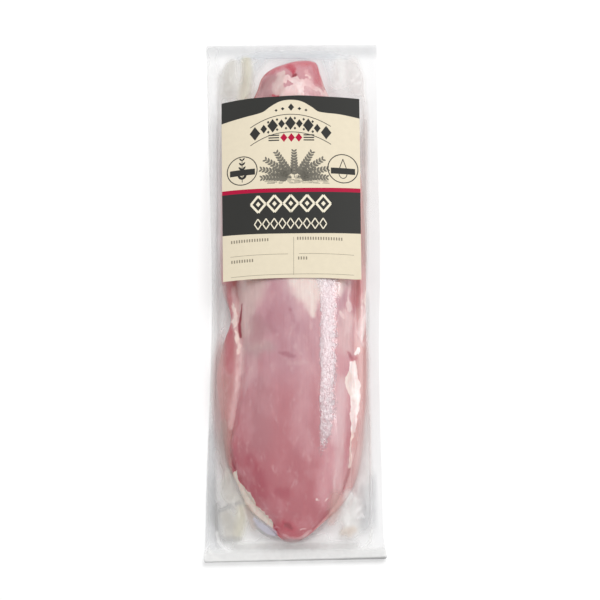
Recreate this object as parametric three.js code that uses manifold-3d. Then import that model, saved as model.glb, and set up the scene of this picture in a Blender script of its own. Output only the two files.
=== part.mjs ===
// A raw pork tenderloin sealed in its clear vacuum pack, with a paper label stuck across the upper half.
// Millimetres. X runs across the pack, Y along it towards the labelled end and Z up. The origin lies on
// the resting face, under the middle of the pack.
import * as THREE from "three";
import { mergeVertices } from "three/addons/utils/BufferGeometryUtils.js";
import Module from "manifold-3d";

const { clamp, degToRad, lerp, smoothstep } = THREE.MathUtils;

// The pack: clear film with a flat sealed border round a shallow formed pocket.
const PACK_LENGTH = 350;
const PACK_WIDTH = 115.4;
const PACK_CORNER = 1.6;
const NEAR_SKEW = 1.5;
const FILM = 0.8;
const POCKET_LEFT = -50.4;
const POCKET_RIGHT = 48.6;
const POCKET_NEAR = -167;
const POCKET_FAR = 165;
const POCKET_CORNER = 13;
const WALL = 4;
const WALL_SHARE = 0.8;
const SHOULDER = 5;
const DRAPE = 12;
const CONTACT_DROP = 0.5;
const CONTACT_BITE = 0.9;

// The pack's two long edges, drawn in by the vacuum: y, left side, right side.
const PACK_EDGES = [
  [-175, -57.7, 57.7],
  [-158, -56.9, 55.9],
  [-120, -56, 55.5],
  [-45, -53.7, 55.1],
  [-20, -53.2, 55.7],
  [25, -53.6, 57.1],
  [95, -55.5, 56.9],
  [150, -57, 57.3],
  [175, -57.7, 57.7],
];

// Puckers of loose film in the pocket's corners: middle, length, width, height, and turn from Y in degrees.
const PUCKERS = [
  { x: -29, y: 146, length: 28, width: 9, height: 6, turn: 0 },
  { x: -41, y: 146, length: 22, width: 9, height: 4, turn: 6 },
  { x: 33, y: 146, length: 24, width: 10, height: 6, turn: -6 },
  { x: 43, y: 149, length: 16, width: 9, height: 3, turn: -35 },
  { x: -43.5, y: -122, length: 26, width: 7, height: 3, turn: -4 },
  { x: -39, y: -146, length: 20, width: 11, height: 6, turn: 24 },
  { x: 37, y: -137, length: 24, width: 9, height: 6, turn: 4 },
  { x: 33, y: -155, length: 13, width: 10, height: 3.5, turn: -20 },
];

// The meat, from its thick tapered tip at -Y to its cut end at +Y.
const MEAT_NEAR = -163;
const MEAT_FAR = 161;
const MEAT_REST = FILM + 0.3;
const TIP_ROUNDNESS = 12;
const TIP_WAISTLINE = 5.5;
const WAISTLINE = 10;
const MAIN_FULLNESS = 2.6;
const SLAB_FULLNESS = 5;
const KEEL_FULLNESS = 5;
const UNION_RADIUS = 3;
const STRAP_LEAST = 0.08;
const SIDE_FADE = 0.5;
const HOLLOW_GAP = 0.3;

// Its outline seen from above, before the two tips are rounded: y, left side, right side.
const OUTLINE = [
  [-163, -19, 15],
  [-153, -22.5, 21.5],
  [-142, -32.5, 31],
  [-128, -36.6, 38],
  [-112, -43, 42],
  [-85, -46.6, 45],
  [-57, -49.4, 46.4],
  [-35, -45.2, 46.6],
  [-18, -40.5, 46.8],
  [3, -46.3, 47.2],
  [45, -47.5, 47],
  [85, -45, 44],
  [112, -35, 35],
  [138, -25.5, 25],
  [149, -24.8, 24.8],
  [155, -22, 27.7],
  [161, -14, 33],
];

// The main muscle's own sides, where it rises out of the side straps: y, left side, right side.
const MAIN_MUSCLE = [
  [-163, -17, 13],
  [-152, -18.5, 19.5],
  [-141, -27, 27],
  [-122, -37, 34.5],
  [-105, -41, 36],
  [-85, -38, 36.5],
  [-60, -34.5, 37.5],
  [-20, -34, 39.5],
  [30, -39, 41],
  [85, -40, 39],
  [112, -32, 32],
  [138, -24, 22.5],
  [149, -23.5, 22.5],
  [161, -13, 30],
];

// Heights over the table: y, top of the main muscle, top of the side straps.
const HEIGHTS = [
  [-163, 17, 11],
  [-140, 23, 12],
  [-110, 28.5, 13.5],
  [-70, 32.5, 16],
  [-10, 34, 18],
  [50, 33.5, 23],
  [95, 30.5, 20],
  [130, 26, 15],
  [161, 20, 13],
];

// The seam between the main muscle and a side strap, open from SEAM_NEAR to SEAM_FAR.
const SEAM_NEAR = -112;
const SEAM_FAR = 12;
const SEAM_FADE = 12;
const SEAM_DEPTH = 3;
const SEAM_WIDTH = 2.4;

// Swells and hollows of the back: the ridge and cluster of fat along the right side, the fat lump, hollows
// and shoulder of the cut end, and the dint of the near tip.
const SWELLS = [
  { x: 37.8, y: -52, reachX: 2.6, reachY: 26, rise: 2.4 },
  { x: 44, y: -8, reachX: 3, reachY: 20, rise: 2 },
  { x: 4, y: 132, reachX: 12, reachY: 6, rise: 2.6 },
  { x: -15, y: 141, reachX: 7, reachY: 9, rise: -2.4 },
  { x: 1, y: 143, reachX: 4, reachY: 3, rise: -1.6 },
  { x: 17, y: 149, reachX: 5, reachY: 9, rise: 1.8 },
  { x: -1, y: -150, reachX: 6, reachY: 4, rise: -1.2 },
];

// The label. Both sides sag from the crest, each by its own amount at the label's near and far end.
const LABEL_WIDTH_NEAR = 88.6;
const LABEL_WIDTH_FAR = 91.2;
const LABEL_LENGTH = 126;
const LABEL_THICKNESS = 0.3;
const LABEL_X = -0.9;
const LABEL_Y = 64.8;
const LABEL_TURN = degToRad(0.2);
const LABEL_LIFT = 0.9;
const LABEL_SAG_LEFT = [8, 12.4];
const LABEL_SAG_RIGHT = [7.5, 6.5];
const LABEL_CURVE = 2.4;
const PROP_START = 84;
const PROP_FULL = 104;
const PROP_GAP = 0.4;
const PROP_FADE = 19;

// How finely the surfaces are divided. Columns of the back lie at these shares of a side strap from the
// outline in and of half the main muscle from its middle out, skirt rings at these shares of the way from
// pocket wall to meat. The core is shrunk from the meat's edge by these shares across and along.
const STRAP_COLUMNS = [0, 0.06, 0.22, 0.45, 0.7, 0.88];
const MUSCLE_COLUMNS = [1, 0.94, 0.85, 0.74, 0.6, 0.41, 0.21];
const MEAT_UNDER = 14;
const MEAT_RINGS = 62;
const RING_EVENNESS = 0.4;
const SIDE_SPOKES = 27;
const CORNER_SPOKES = 5;
const END_SPOKES = 8;
const SKIRT_RINGS = [0.06, 0.13, 0.23, 0.34, 0.45, 0.56, 0.67, 0.78, 0.89, 1];
const CORE_HEIGHT = 6;
const CORE_ACROSS = 0.7;
const CORE_ALONG = 0.93;
const LABEL_COLUMNS = 20;
const LABEL_ROWS = 14;

// The value at y of one column of a table of stations, by a cubic whose slopes follow the neighbours.
function station(stations, column, y) {
  const last = stations.length - 1;
  let i = 0;
  while (i < last - 1 && y > stations[i + 1][0]) i += 1;
  const [before, from, to, after] = [i - 1, i, i + 1, i + 2].map((k) => stations[clamp(k, 0, last)]);
  const length = to[0] - from[0];
  const share = clamp((y - from[0]) / length, 0, 1);
  const slopeFrom = ((to[column] - before[column]) / (to[0] - before[0])) * length;
  const slopeTo = ((after[column] - from[column]) / (after[0] - from[0])) * length;
  const s2 = share * share;
  const s3 = s2 * share;
  return (
    (2 * s3 - 3 * s2 + 1) * from[column] +
    (s3 - 2 * s2 + share) * slopeFrom +
    (3 * s2 - 2 * s3) * to[column] +
    (s3 - s2) * slopeTo
  );
}

function bell(distance, reach) {
  return Math.exp(-((distance / reach) ** 2));
}

// Height of a rounded section: 1 in its middle, 0 at its sides, squarer with a higher fullness.
function arch(across, fullness) {
  return Math.sqrt(Math.max(0, 1 - Math.abs(across) ** fullness));
}

// What rounding off the crossing of two heights adds to the greater one.
function fillet(a, b, radius) {
  const near = Math.max(0, 1 - Math.abs(a - b) / radius);
  return (near * near * radius) / 4;
}

// How far a ring of the meat has closed towards a tip: 1 along the middle, 0 at both tips.
function tipRounding(y) {
  return arch((2 * y - MEAT_FAR - MEAT_NEAR) / (MEAT_FAR - MEAT_NEAR), TIP_ROUNDNESS);
}

// The middle and half width at y between the two sides of a table of stations.
function spanAt(stations, y) {
  const left = station(stations, 1, y);
  const right = station(stations, 2, y);
  return { middle: (left + right) / 2, half: ((right - left) / 2) * tipRounding(y) };
}

// The main muscle at y, kept a least strap inside the outline on both sides.
function muscleAt(y) {
  const meat = spanAt(OUTLINE, y);
  const muscle = spanAt(MAIN_MUSCLE, y);
  const inset = (1 - STRAP_LEAST) * meat.half;
  const left = Math.max(muscle.middle - muscle.half, meat.middle - inset);
  const right = Math.min(muscle.middle + muscle.half, meat.middle + inset);
  return { middle: (left + right) / 2, half: (right - left) / 2 };
}

// Height of the meat's widest line, where the film leaves its side.
function waistline(y) {
  return lerp(TIP_WAISTLINE, WAISTLINE, tipRounding(y));
}

function swellRise(x, y) {
  let rise = 0;
  for (const swell of SWELLS) {
    rise += swell.rise * bell(x - swell.x, swell.reachX) * bell(y - swell.y, swell.reachY);
  }
  return rise;
}

// Rise of the back above the widest line: the main muscle out of the slab of side straps, seams and swells.
function backRise(x, y) {
  const closing = tipRounding(y);
  if (closing === 0) return 0;
  const meat = spanAt(OUTLINE, y);
  const muscle = muscleAt(y);
  const slab = arch((x - meat.middle) / meat.half, SLAB_FULLNESS);
  const inside = Math.min(1, slab / SIDE_FADE);
  const slabRise = (station(HEIGHTS, 2, y) - WAISTLINE) * slab;
  const dome = arch((x - muscle.middle) / muscle.half, MAIN_FULLNESS) * inside;
  const muscleRise = (station(HEIGHTS, 1, y) - WAISTLINE) * dome;
  const opening = smoothstep(y, SEAM_NEAR - SEAM_FADE, SEAM_NEAR);
  const ending = 1 - smoothstep(y, SEAM_FAR, SEAM_FAR + SEAM_FADE);
  const seam = SEAM_DEPTH * bell(Math.abs(x - muscle.middle) - muscle.half, SEAM_WIDTH) * opening * ending;
  const relief = fillet(slabRise, muscleRise, UNION_RADIUS) + swellRise(x, y) - seam;
  return (Math.max(slabRise, muscleRise) + relief * inside) * closing;
}

// A point of the meat's skin. Across runs from -1 at the left side to 1 at the right. A gap grows the meat.
function meatPoint(y, across, onTop, gap) {
  const closing = tipRounding(y);
  const { middle, half } = spanAt(OUTLINE, y);
  const x = middle + half * across;
  const depth = (waistline(y) - MEAT_REST) * arch(across, KEEL_FULLNESS) * closing;
  const z = waistline(y) + (onTop ? backRise(x, y) : -depth);
  const lengthwise = Math.sign(y) * (1 - closing);
  const upward = (onTop ? 1 : -1) * arch(across, 2) * closing;
  const outward = new THREE.Vector3(across * closing, lengthwise, upward).normalize();
  return new THREE.Vector3(x, y, z).addScaledVector(outward, gap);
}

// Where the columns of a ring lie, from -1 to 1 over the back and back to -1 underneath. Columns of the back
// follow the main muscle's sides, so that its seams are clean.
function ringColumns(y) {
  const { middle, half } = spanAt(OUTLINE, y);
  const muscle = muscleAt(y);
  if (half === 0) return ringColumns(y - Math.sign(y));
  const [left, right] = [-1, 1].map((side) => (muscle.middle + side * muscle.half - middle) / half);
  const muscleMiddle = (left + right) / 2;
  const leftStrap = STRAP_COLUMNS.map((share) => lerp(-1, left, share));
  const rightStrap = STRAP_COLUMNS.map((share) => lerp(1, right, share)).reverse();
  const leftMuscle = MUSCLE_COLUMNS.map((share) => lerp(muscleMiddle, left, share));
  const rightMuscle = MUSCLE_COLUMNS.map((share) => lerp(muscleMiddle, right, share)).reverse();
  const back = [...leftStrap, ...leftMuscle, muscleMiddle, ...rightMuscle, ...rightStrap];
  const under = Array.from({ length: MEAT_UNDER }, (_, i) => Math.cos((Math.PI * (i + 1)) / MEAT_UNDER));
  return [...back, ...under];
}

// Where the meat's rings lie: shares of its length, closer together towards both tips.
function ringY(share) {
  const along = lerp(Math.cos(Math.PI * share), 1 - 2 * share, RING_EVENNESS);
  return (MEAT_FAR + MEAT_NEAR) / 2 + ((MEAT_FAR - MEAT_NEAR) / 2) * along;
}

// A geometry with its shared corners joined into one.
function weld(geometry) {
  geometry.deleteAttribute("normal");
  geometry.deleteAttribute("uv");
  return mergeVertices(geometry, 1e-4);
}

// The meat: a sphere whose poles become the two tips.
function meatGeometry(gap = 0) {
  const back = 2 * (STRAP_COLUMNS.length + MUSCLE_COLUMNS.length);
  const around = back + MEAT_UNDER;
  const geometry = new THREE.SphereGeometry(1, around, MEAT_RINGS);
  const position = geometry.getAttribute("position");
  for (let ring = 0; ring <= MEAT_RINGS; ring += 1) {
    const y = ringY(ring / MEAT_RINGS);
    ringColumns(y).forEach((across, i) => {
      const point = meatPoint(y, across, i <= back, gap);
      position.setXYZ(ring * (around + 1) + i, point.x, point.y, point.z);
    });
  }
  return weld(geometry);
}

// A rounded rectangle as a ring of points, counterclockwise from the middle of its right side. Each quarter
// has a straight side, a corner arc and half of an end.
function roundedRing(left, right, near, far, corner) {
  const halfWidth = (right - left) / 2;
  const halfLength = (far - near) / 2;
  const quarter = [];
  for (let i = 0; i < SIDE_SPOKES; i += 1) {
    quarter.push([halfWidth, ((halfLength - corner) * i) / SIDE_SPOKES]);
  }
  for (let i = 0; i < CORNER_SPOKES; i += 1) {
    const turn = ((Math.PI / 2) * i) / CORNER_SPOKES;
    quarter.push([halfWidth - corner * (1 - Math.cos(turn)), halfLength - corner * (1 - Math.sin(turn))]);
  }
  for (let i = 0; i <= END_SPOKES; i += 1) {
    quarter.push([(halfWidth - corner) * (1 - i / END_SPOKES), halfLength]);
  }
  const mirrored = quarter.slice(0, -1).reverse().map(([x, y]) => [-x, y]);
  const farHalf = [...quarter, ...mirrored];
  const nearHalf = farHalf.slice(1, -1).map(([x, y]) => [-x, -y]);
  const [middleX, middleY] = [(left + right) / 2, (near + far) / 2];
  return [...farHalf, ...nearHalf].map(([x, y]) => new THREE.Vector2(middleX + x, middleY + y));
}

// The pack's outer edge: its sides are drawn in, and its near end is cut a little askew.
function packEdge() {
  const [halfWidth, halfLength] = [PACK_WIDTH / 2, PACK_LENGTH / 2];
  return roundedRing(-halfWidth, halfWidth, -halfLength, halfLength, PACK_CORNER).map(({ x, y }) => {
    const side = Math.abs(station(PACK_EDGES, x < 0 ? 1 : 2, y));
    const skew = y < 0 ? NEAR_SKEW * (0.5 + x / PACK_WIDTH) * (y / halfLength) ** 8 : 0;
    return new THREE.Vector2((x * side) / halfWidth, y + skew);
  });
}

// Where the film's spokes end, a little inside the meat's outline so that the meat cuts them clean. Both
// halves are shared out by length from tip to tip, as the pocket's wall is.
function meatEdge(wall) {
  const farMiddle = SIDE_SPOKES + CORNER_SPOKES + END_SPOKES;
  const spokes = wall.length;
  const edge = [];
  for (const side of [-1, 1]) {
    const points = [];
    for (let ring = MEAT_RINGS; ring >= 0; ring -= 1) {
      const y = ringY(ring / MEAT_RINGS);
      const { middle, half } = spanAt(OUTLINE, y);
      const bite = Math.min(CONTACT_BITE, half);
      points.push(new THREE.Vector2(middle + side * (half - bite), y - Math.sign(y) * CONTACT_BITE));
    }
    const outline = new THREE.SplineCurve(points);
    const walked = [0];
    for (let k = 0; k < spokes / 2; k += 1) {
      const [from, to] = [farMiddle - side * (spokes / 2 - k), farMiddle - side * (spokes / 2 - k - 1)];
      walked.push(walked[k] + wall[(from + spokes) % spokes].distanceTo(wall[(to + spokes) % spokes]));
    }
    walked.forEach((length, k) => {
      const spoke = (farMiddle - side * (spokes / 2 - k) + spokes) % spokes;
      edge[spoke] = outline.getPointAt(length / walked[spokes / 2]);
    });
  }
  return edge;
}

// Half the label's width at a place along it.
function labelHalf(v) {
  return lerp(LABEL_WIDTH_NEAR, LABEL_WIDTH_FAR, clamp(v / LABEL_LENGTH + 0.5, 0, 1)) / 2;
}

// The label's own axes: u across it and v along it, from its middle.
function labelAxes(x, y) {
  const dx = x - LABEL_X;
  const dy = y - LABEL_Y;
  const [c, s] = [Math.cos(LABEL_TURN), Math.sin(LABEL_TURN)];
  return { u: dx * c + dy * s, v: dy * c - dx * s };
}

// Height of the label's underside: it follows the crest and the lump under it, and sags towards both sides.
function labelHeight(x, y) {
  const { u, v } = labelAxes(x, y);
  const [near, far] = u < 0 ? LABEL_SAG_LEFT : LABEL_SAG_RIGHT;
  const sag = lerp(near, far, clamp(v / LABEL_LENGTH + 0.5, 0, 1));
  const crest = station(HEIGHTS, 1, y) + Math.max(0, swellRise(x, y));
  return crest + LABEL_LIFT - sag * Math.abs(u / labelHalf(v)) ** LABEL_CURVE;
}

// 1 under the label's far half, fading beside it: there the label holds the film up.
function labelProp(x, y) {
  const { u, v } = labelAxes(x, y);
  const besideU = Math.max(0, Math.abs(u) - labelHalf(v));
  const besideV = Math.max(0, Math.abs(v) - LABEL_LENGTH / 2);
  return (1 - smoothstep(Math.hypot(besideU, besideV), 0, PROP_FADE)) * smoothstep(y, PROP_START, PROP_FULL);
}

function puckerRise(x, y) {
  let rise = 0;
  for (const fold of PUCKERS) {
    const [c, s] = [Math.cos(degToRad(fold.turn)), Math.sin(degToRad(fold.turn))];
    const along = (y - fold.y) * c - (x - fold.x) * s;
    const across = (x - fold.x) * c + (y - fold.y) * s;
    rise += fold.height * bell(along, fold.length / 2) * bell(across, fold.width / 2);
  }
  return rise;
}

// Height of the film on a spoke from the pocket's wall to the meat's edge, at a share of the way.
function filmHeight(wall, meat, share) {
  const reach = wall.distanceTo(meat);
  const { x, y } = wall.clone().lerp(meat, share);
  const contact = waistline(meat.y) - CONTACT_DROP;
  const drawn = lerp(SHOULDER, contact, Math.exp((-(1 - share) * reach) / DRAPE));
  const loose = drawn + puckerRise(x, y) * smoothstep((1 - share) * reach, 0, DRAPE / 2);
  const held = labelProp(x, y) * smoothstep((1 - share) * reach, 0, WALL);
  const height = lerp(loose, labelHeight(x, y) - PROP_GAP, held);
  return FILM + (height - FILM) * smoothstep(share * reach, 0, Math.min(WALL, WALL_SHARE * reach));
}

// The pack as a lathed disc: underside, border, skirt of film up to the meat, and a core that it fills.
function packGeometry() {
  const edge = packEdge();
  const wall = roundedRing(POCKET_LEFT, POCKET_RIGHT, POCKET_NEAR, POCKET_FAR, POCKET_CORNER);
  const meat = meatEdge(wall);
  const onSpoke = [
    () => [0, 0, 0],
    (k) => [edge[k].x, edge[k].y, 0],
    (k) => [edge[k].x, edge[k].y, FILM],
    (k) => [wall[k].x, wall[k].y, FILM],
    ...SKIRT_RINGS.map((share) => (k) => {
      const { x, y } = wall[k].clone().lerp(meat[k], share);
      return [x, y, filmHeight(wall[k], meat[k], share)];
    }),
    (k) => [CORE_ACROSS * meat[k].x, CORE_ALONG * meat[k].y, CORE_HEIGHT],
    () => [0, 0, CORE_HEIGHT],
  ];
  const profile = onSpoke.map((_, j) => new THREE.Vector2(j === 0 || j === onSpoke.length - 1 ? 0 : 1, j));
  const geometry = new THREE.LatheGeometry(profile, edge.length);
  const position = geometry.getAttribute("position");
  for (let spoke = 0; spoke <= edge.length; spoke += 1) {
    onSpoke.forEach((place, j) => {
      position.setXYZ(spoke * onSpoke.length + j, ...place(spoke % edge.length));
    });
  }
  return weld(geometry);
}

// The label: a thin box bent over the back.
function labelGeometry() {
  const geometry = new THREE.BoxGeometry(2, LABEL_LENGTH, LABEL_THICKNESS, LABEL_COLUMNS, LABEL_ROWS, 1);
  const position = geometry.getAttribute("position");
  for (let i = 0; i < position.count; i += 1) {
    const v = position.getY(i);
    const u = position.getX(i) * labelHalf(v);
    const x = LABEL_X + u * Math.cos(LABEL_TURN) - v * Math.sin(LABEL_TURN);
    const y = LABEL_Y + v * Math.cos(LABEL_TURN) + u * Math.sin(LABEL_TURN);
    position.setXYZ(i, x, y, labelHeight(x, y) + position.getZ(i) + LABEL_THICKNESS / 2);
  }
  return weld(geometry);
}

// manifold-3d cuts closed meshes.
const wasm = await Module();
wasm.setup();

function toSolid(geometry) {
  const vertProperties = new Float32Array(geometry.getAttribute("position").array);
  const triVerts = new Uint32Array(geometry.index.array);
  return new wasm.Manifold(new wasm.Mesh({ numProp: 3, vertProperties, triVerts }));
}

function toGeometry(solid) {
  const mesh = solid.getMesh();
  const geometry = new THREE.BufferGeometry();
  geometry.setAttribute("position", new THREE.BufferAttribute(mesh.vertProperties, 3));
  geometry.setIndex(new THREE.BufferAttribute(mesh.triVerts, 1));
  return geometry;
}

function piece(name, geometry, material) {
  const mesh = new THREE.Mesh(geometry, material);
  mesh.name = name;
  return mesh;
}

const rawPork = new THREE.MeshStandardMaterial({ color: 0xbb8188, roughness: 0.35, metalness: 0 });
const clearFilm = new THREE.MeshStandardMaterial({ color: 0xdfe1e2, roughness: 0.2, metalness: 0 });
const labelPaper = new THREE.MeshStandardMaterial({ color: 0xefe4cb, roughness: 0.7, metalness: 0 });

const hollowPack = toSolid(packGeometry()).subtract(toSolid(meatGeometry(HOLLOW_GAP)));

const group = new THREE.Group();
group.add(piece("film_pack", toGeometry(hollowPack), clearFilm));
group.add(piece("tenderloin", meatGeometry(), rawPork));
group.add(piece("label", labelGeometry(), labelPaper));

export default group;
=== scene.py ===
"""Looks of a raw pork tenderloin in its clear vacuum pack, with a paper label bent across its upper half."""
import math

import bpy
import numpy as np
from mathutils import Matrix, Vector


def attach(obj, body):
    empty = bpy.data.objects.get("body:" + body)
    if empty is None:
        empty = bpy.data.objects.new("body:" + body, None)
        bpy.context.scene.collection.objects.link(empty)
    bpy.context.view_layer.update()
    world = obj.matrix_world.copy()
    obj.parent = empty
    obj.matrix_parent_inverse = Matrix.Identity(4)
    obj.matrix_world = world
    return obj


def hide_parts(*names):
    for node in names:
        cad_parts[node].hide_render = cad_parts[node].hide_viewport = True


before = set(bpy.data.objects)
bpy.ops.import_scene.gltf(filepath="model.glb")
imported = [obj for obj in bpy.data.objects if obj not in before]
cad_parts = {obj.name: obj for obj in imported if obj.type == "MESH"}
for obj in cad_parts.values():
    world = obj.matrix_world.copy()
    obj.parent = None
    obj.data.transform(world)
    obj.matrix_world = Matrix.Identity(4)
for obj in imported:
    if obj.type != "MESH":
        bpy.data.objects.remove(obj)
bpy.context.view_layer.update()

# Shapes are worked out in millimetres, as in the frame, and written to the meshes in metres.
MM = 0.001

# The camera: height above the horizon, distance, lens and roll, and the point that it looks at.
CAMERA_ELEVATION = math.radians(75)
CAMERA_DISTANCE = 1302.6
CAMERA_LENS = 120
CAMERA_ROLL = -0.0083
CAMERA_AIM = (4.25, -4.49, 4.0)
SENSOR_WIDTH = 36

# The pack: its size, the skew of its near end and the thickness of its lower film.
PACK_LENGTH = 350
PACK_WIDTH = 115.4
PACK_CORNER = 1.6
NEAR_SKEW = 1.5
FILM = 0.8

# The pocket, the reach of its wall, and how the loose film falls from the meat to the pocket's shoulder.
POCKET = {"left": -50.4, "right": 48.6, "near": -167, "far": 165, "corner": 13}
WALL = 4
WALL_SHARE = 0.8
SHOULDER = 5
DRAPE = 12

# The pack's edges: y, left side, right side.
PACK_EDGES = [
    (-175, -57.7, 57.7), (-158, -56.9, 55.9), (-120, -56, 55.5), (-45, -53.7, 55.1), (-20, -53.2, 55.7),
    (25, -53.6, 57.1), (95, -55.5, 56.9), (150, -57, 57.3), (175, -57.7, 57.7),
]

# Puckers of loose film: middle, length, width, height, and turn from Y in degrees.
PUCKERS = [
    (-29, 146, 28, 9, 6, 0), (-41, 146, 22, 9, 4, 6), (33, 146, 24, 10, 6, -6), (43, 149, 16, 9, 3, -35),
    (-43.5, -122, 26, 7, 3, -4), (-39, -146, 20, 11, 6, 24), (37, -137, 24, 9, 6, 4), (33, -155, 13, 10, 3.5, -20),
]

# The meat: its ends, where it rests, and how high its widest line is at the tips and between them.
MEAT_NEAR = -163
MEAT_FAR = 161
MEAT_REST = FILM + 0.3
TIP_ROUNDNESS = 12
TIP_WAISTLINE = 5.5
WAISTLINE = 10

# How square its sections are, how softly muscle and straps join, and where the relief fades at the sides.
MAIN_FULLNESS = 2.6
SLAB_FULLNESS = 5
KEEL_FULLNESS = 5
UNION_RADIUS = 3
STRAP_LEAST = 0.08
SIDE_FADE = 0.5

# The seams beside the main muscle.
SEAM_NEAR = -92
SEAM_FAR = 12
SEAM_FADE = 12
SEAM_DEPTH = 1.5
SEAM_WIDTH = 2.4

# y, left side, right side of the whole outline and of the main muscle.
OUTLINE = [
    (-163, -19, 15), (-153, -22.5, 21.5), (-142, -32.5, 31), (-128, -36.6, 38), (-112, -43, 42),
    (-85, -46.6, 45), (-57, -49.4, 46.4), (-35, -45.2, 46.6), (-18, -40.5, 46.8), (3, -46.3, 47.2),
    (45, -47.5, 47), (85, -45, 44), (112, -35, 35), (138, -25.5, 25), (149, -24.8, 24.8), (155, -22, 27.7),
    (161, -14, 33),
]
MAIN_MUSCLE = [
    (-163, -17, 13), (-152, -18.5, 19.5), (-141, -27, 27), (-122, -37, 34.5), (-105, -41, 36), (-85, -38, 36.5),
    (-60, -34.5, 37.5), (-20, -34, 39.5), (30, -39, 41), (85, -40, 39), (112, -32, 32), (138, -24, 22.5),
    (149, -23.5, 22.5), (161, -13, 30),
]

# y, top of the main muscle, top of the side straps.
HEIGHTS = [
    (-163, 17, 11), (-140, 23, 12), (-110, 28.5, 13.5), (-70, 32.5, 16), (-10, 34, 18), (50, 33.5, 23),
    (95, 30.5, 20), (130, 26, 15), (161, 20, 13),
]

# Swells and hollows of the back: x, y, reach across, reach along, rise.
SWELLS = [
    (37.8, -52, 2.6, 26, 2.4), (44, -8, 3, 20, 2), (4, 132, 12, 6, 2.6), (-15, 141, 7, 9, -2.4),
    (1, 143, 4, 3, -1.6), (17, 149, 5, 9, 1.8), (-1, -150, 6, 4, -1.2),
]

# The label. Both sides sag from the crest, each by its own amount at the label's near and far end.
LABEL_WIDTH_NEAR = 88.6
LABEL_WIDTH_FAR = 91.2
LABEL_LENGTH = 126
LABEL_X = -0.9
LABEL_Y = 64.8
LABEL_TURN = math.radians(0.2)
LABEL_LIFT = 0.9
LABEL_PAPER = 0.3
LABEL_SAG_LEFT = (8, 12.4)
LABEL_SAG_RIGHT = (7.5, 6.5)
LABEL_CURVE = 2.4
LABEL_FADE = 3

# Where along Y the label's far end begins to hold the film up, where it does so fully, and how far around it.
PROP_START = 84
PROP_FULL = 104
PROP_FADE = 19

# The least width and the least length that are divided by.
LEAST_WIDTH = 1e-6
LEAST_LENGTH = 1e-9


# Shared functions of shape.

def station(stations, column, y):
    """One column of a table at y: a cubic between its rows, with slopes that follow the neighbouring rows."""
    table = np.array(stations, float)
    ys, values = table[:, 0], table[:, column]
    last = len(ys) - 1
    above = np.minimum(np.arange(last + 1) + 1, last)
    below = np.maximum(np.arange(last + 1) - 1, 0)
    slopes = (values[above] - values[below]) / (ys[above] - ys[below])
    i = np.clip(np.searchsorted(ys, y) - 1, 0, last - 1)
    length = ys[i + 1] - ys[i]
    s = np.clip((y - ys[i]) / length, 0, 1)
    return (
        (2 * s**3 - 3 * s**2 + 1) * values[i]
        + (s**3 - 2 * s**2 + s) * slopes[i] * length
        + (3 * s**2 - 2 * s**3) * values[i + 1]
        + (s**3 - s**2) * slopes[i + 1] * length
    )


def smoothstep(value, low, high):
    """0 at low, 1 at high, with flat ends."""
    s = np.clip((value - low) / (high - low), 0, 1)
    return s * s * (3 - 2 * s)


def mix(a, b, share):
    """The value at a share of the way from a to b."""
    return a + (b - a) * share


def bell(distance, reach):
    """1 at no distance, falling off with its square."""
    return np.exp(-((distance / reach) ** 2))


def arch(across, fullness):
    """Height of a rounded section: 1 in its middle, 0 at its sides, squarer with a higher fullness."""
    return np.sqrt(np.maximum(0, 1 - np.abs(across) ** fullness))


def fillet(a, b, radius):
    """What rounding off the crossing of two heights adds to the greater one."""
    near = np.maximum(0, 1 - np.abs(a - b) / radius)
    return near * near * radius / 4


def lattice_noise(x, y, seed):
    """Smooth noise from -1 to 1: seeded random heights on a unit grid, joined by a fifth-power ease."""
    table = np.random.default_rng(seed).uniform(-1, 1, (256, 256))
    ix, iy = np.floor(x).astype(int), np.floor(y).astype(int)
    fx, fy = x - ix, y - iy
    ex = fx**3 * (fx * (fx * 6 - 15) + 10)
    ey = fy**3 * (fy * (fy * 6 - 15) + 10)
    at = lambda dx, dy: table[(ix + dx) & 255, (iy + dy) & 255]
    return mix(mix(at(0, 0), at(1, 0), ex), mix(at(0, 1), at(1, 1), ex), ey)


NOISE_PEAK = 1.6


def fractal_noise(x, y, seed, octaves):
    """Noise from about -1 to 1: octaves of lattice noise, each half as strong and twice as fine as the last."""
    total = 0
    for octave in range(octaves):
        total = total + lattice_noise(x * 2**octave, y * 2**octave, seed + octave) / 2**octave
    return total / NOISE_PEAK


# The meat's form.

def tip_rounding(y):
    """1 along the middle of the meat, 0 at both tips."""
    return arch((2 * y - MEAT_FAR - MEAT_NEAR) / (MEAT_FAR - MEAT_NEAR), TIP_ROUNDNESS)


def span_at(stations, y):
    """Middle and half width at y between the two sides of a table of stations."""
    left, right = station(stations, 1, y), station(stations, 2, y)
    return (left + right) / 2, (right - left) / 2 * tip_rounding(y)


def muscle_at(y):
    """Middle and half width of the main muscle, kept a least strap inside the outline on both sides."""
    middle, half = span_at(OUTLINE, y)
    muscle_middle, muscle_half = span_at(MAIN_MUSCLE, y)
    inset = (1 - STRAP_LEAST) * half
    left = np.maximum(muscle_middle - muscle_half, middle - inset)
    right = np.minimum(muscle_middle + muscle_half, middle + inset)
    return (left + right) / 2, (right - left) / 2


def waistline(y):
    """Height of the meat's widest line, where the film leaves its side."""
    return mix(TIP_WAISTLINE, WAISTLINE, tip_rounding(y))


def swell_rise(x, y):
    """Sum of the swells: each a bell across times a bell along."""
    return sum(rise * bell(x - sx, rx) * bell(y - sy, ry) for sx, sy, rx, ry, rise in SWELLS)


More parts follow.
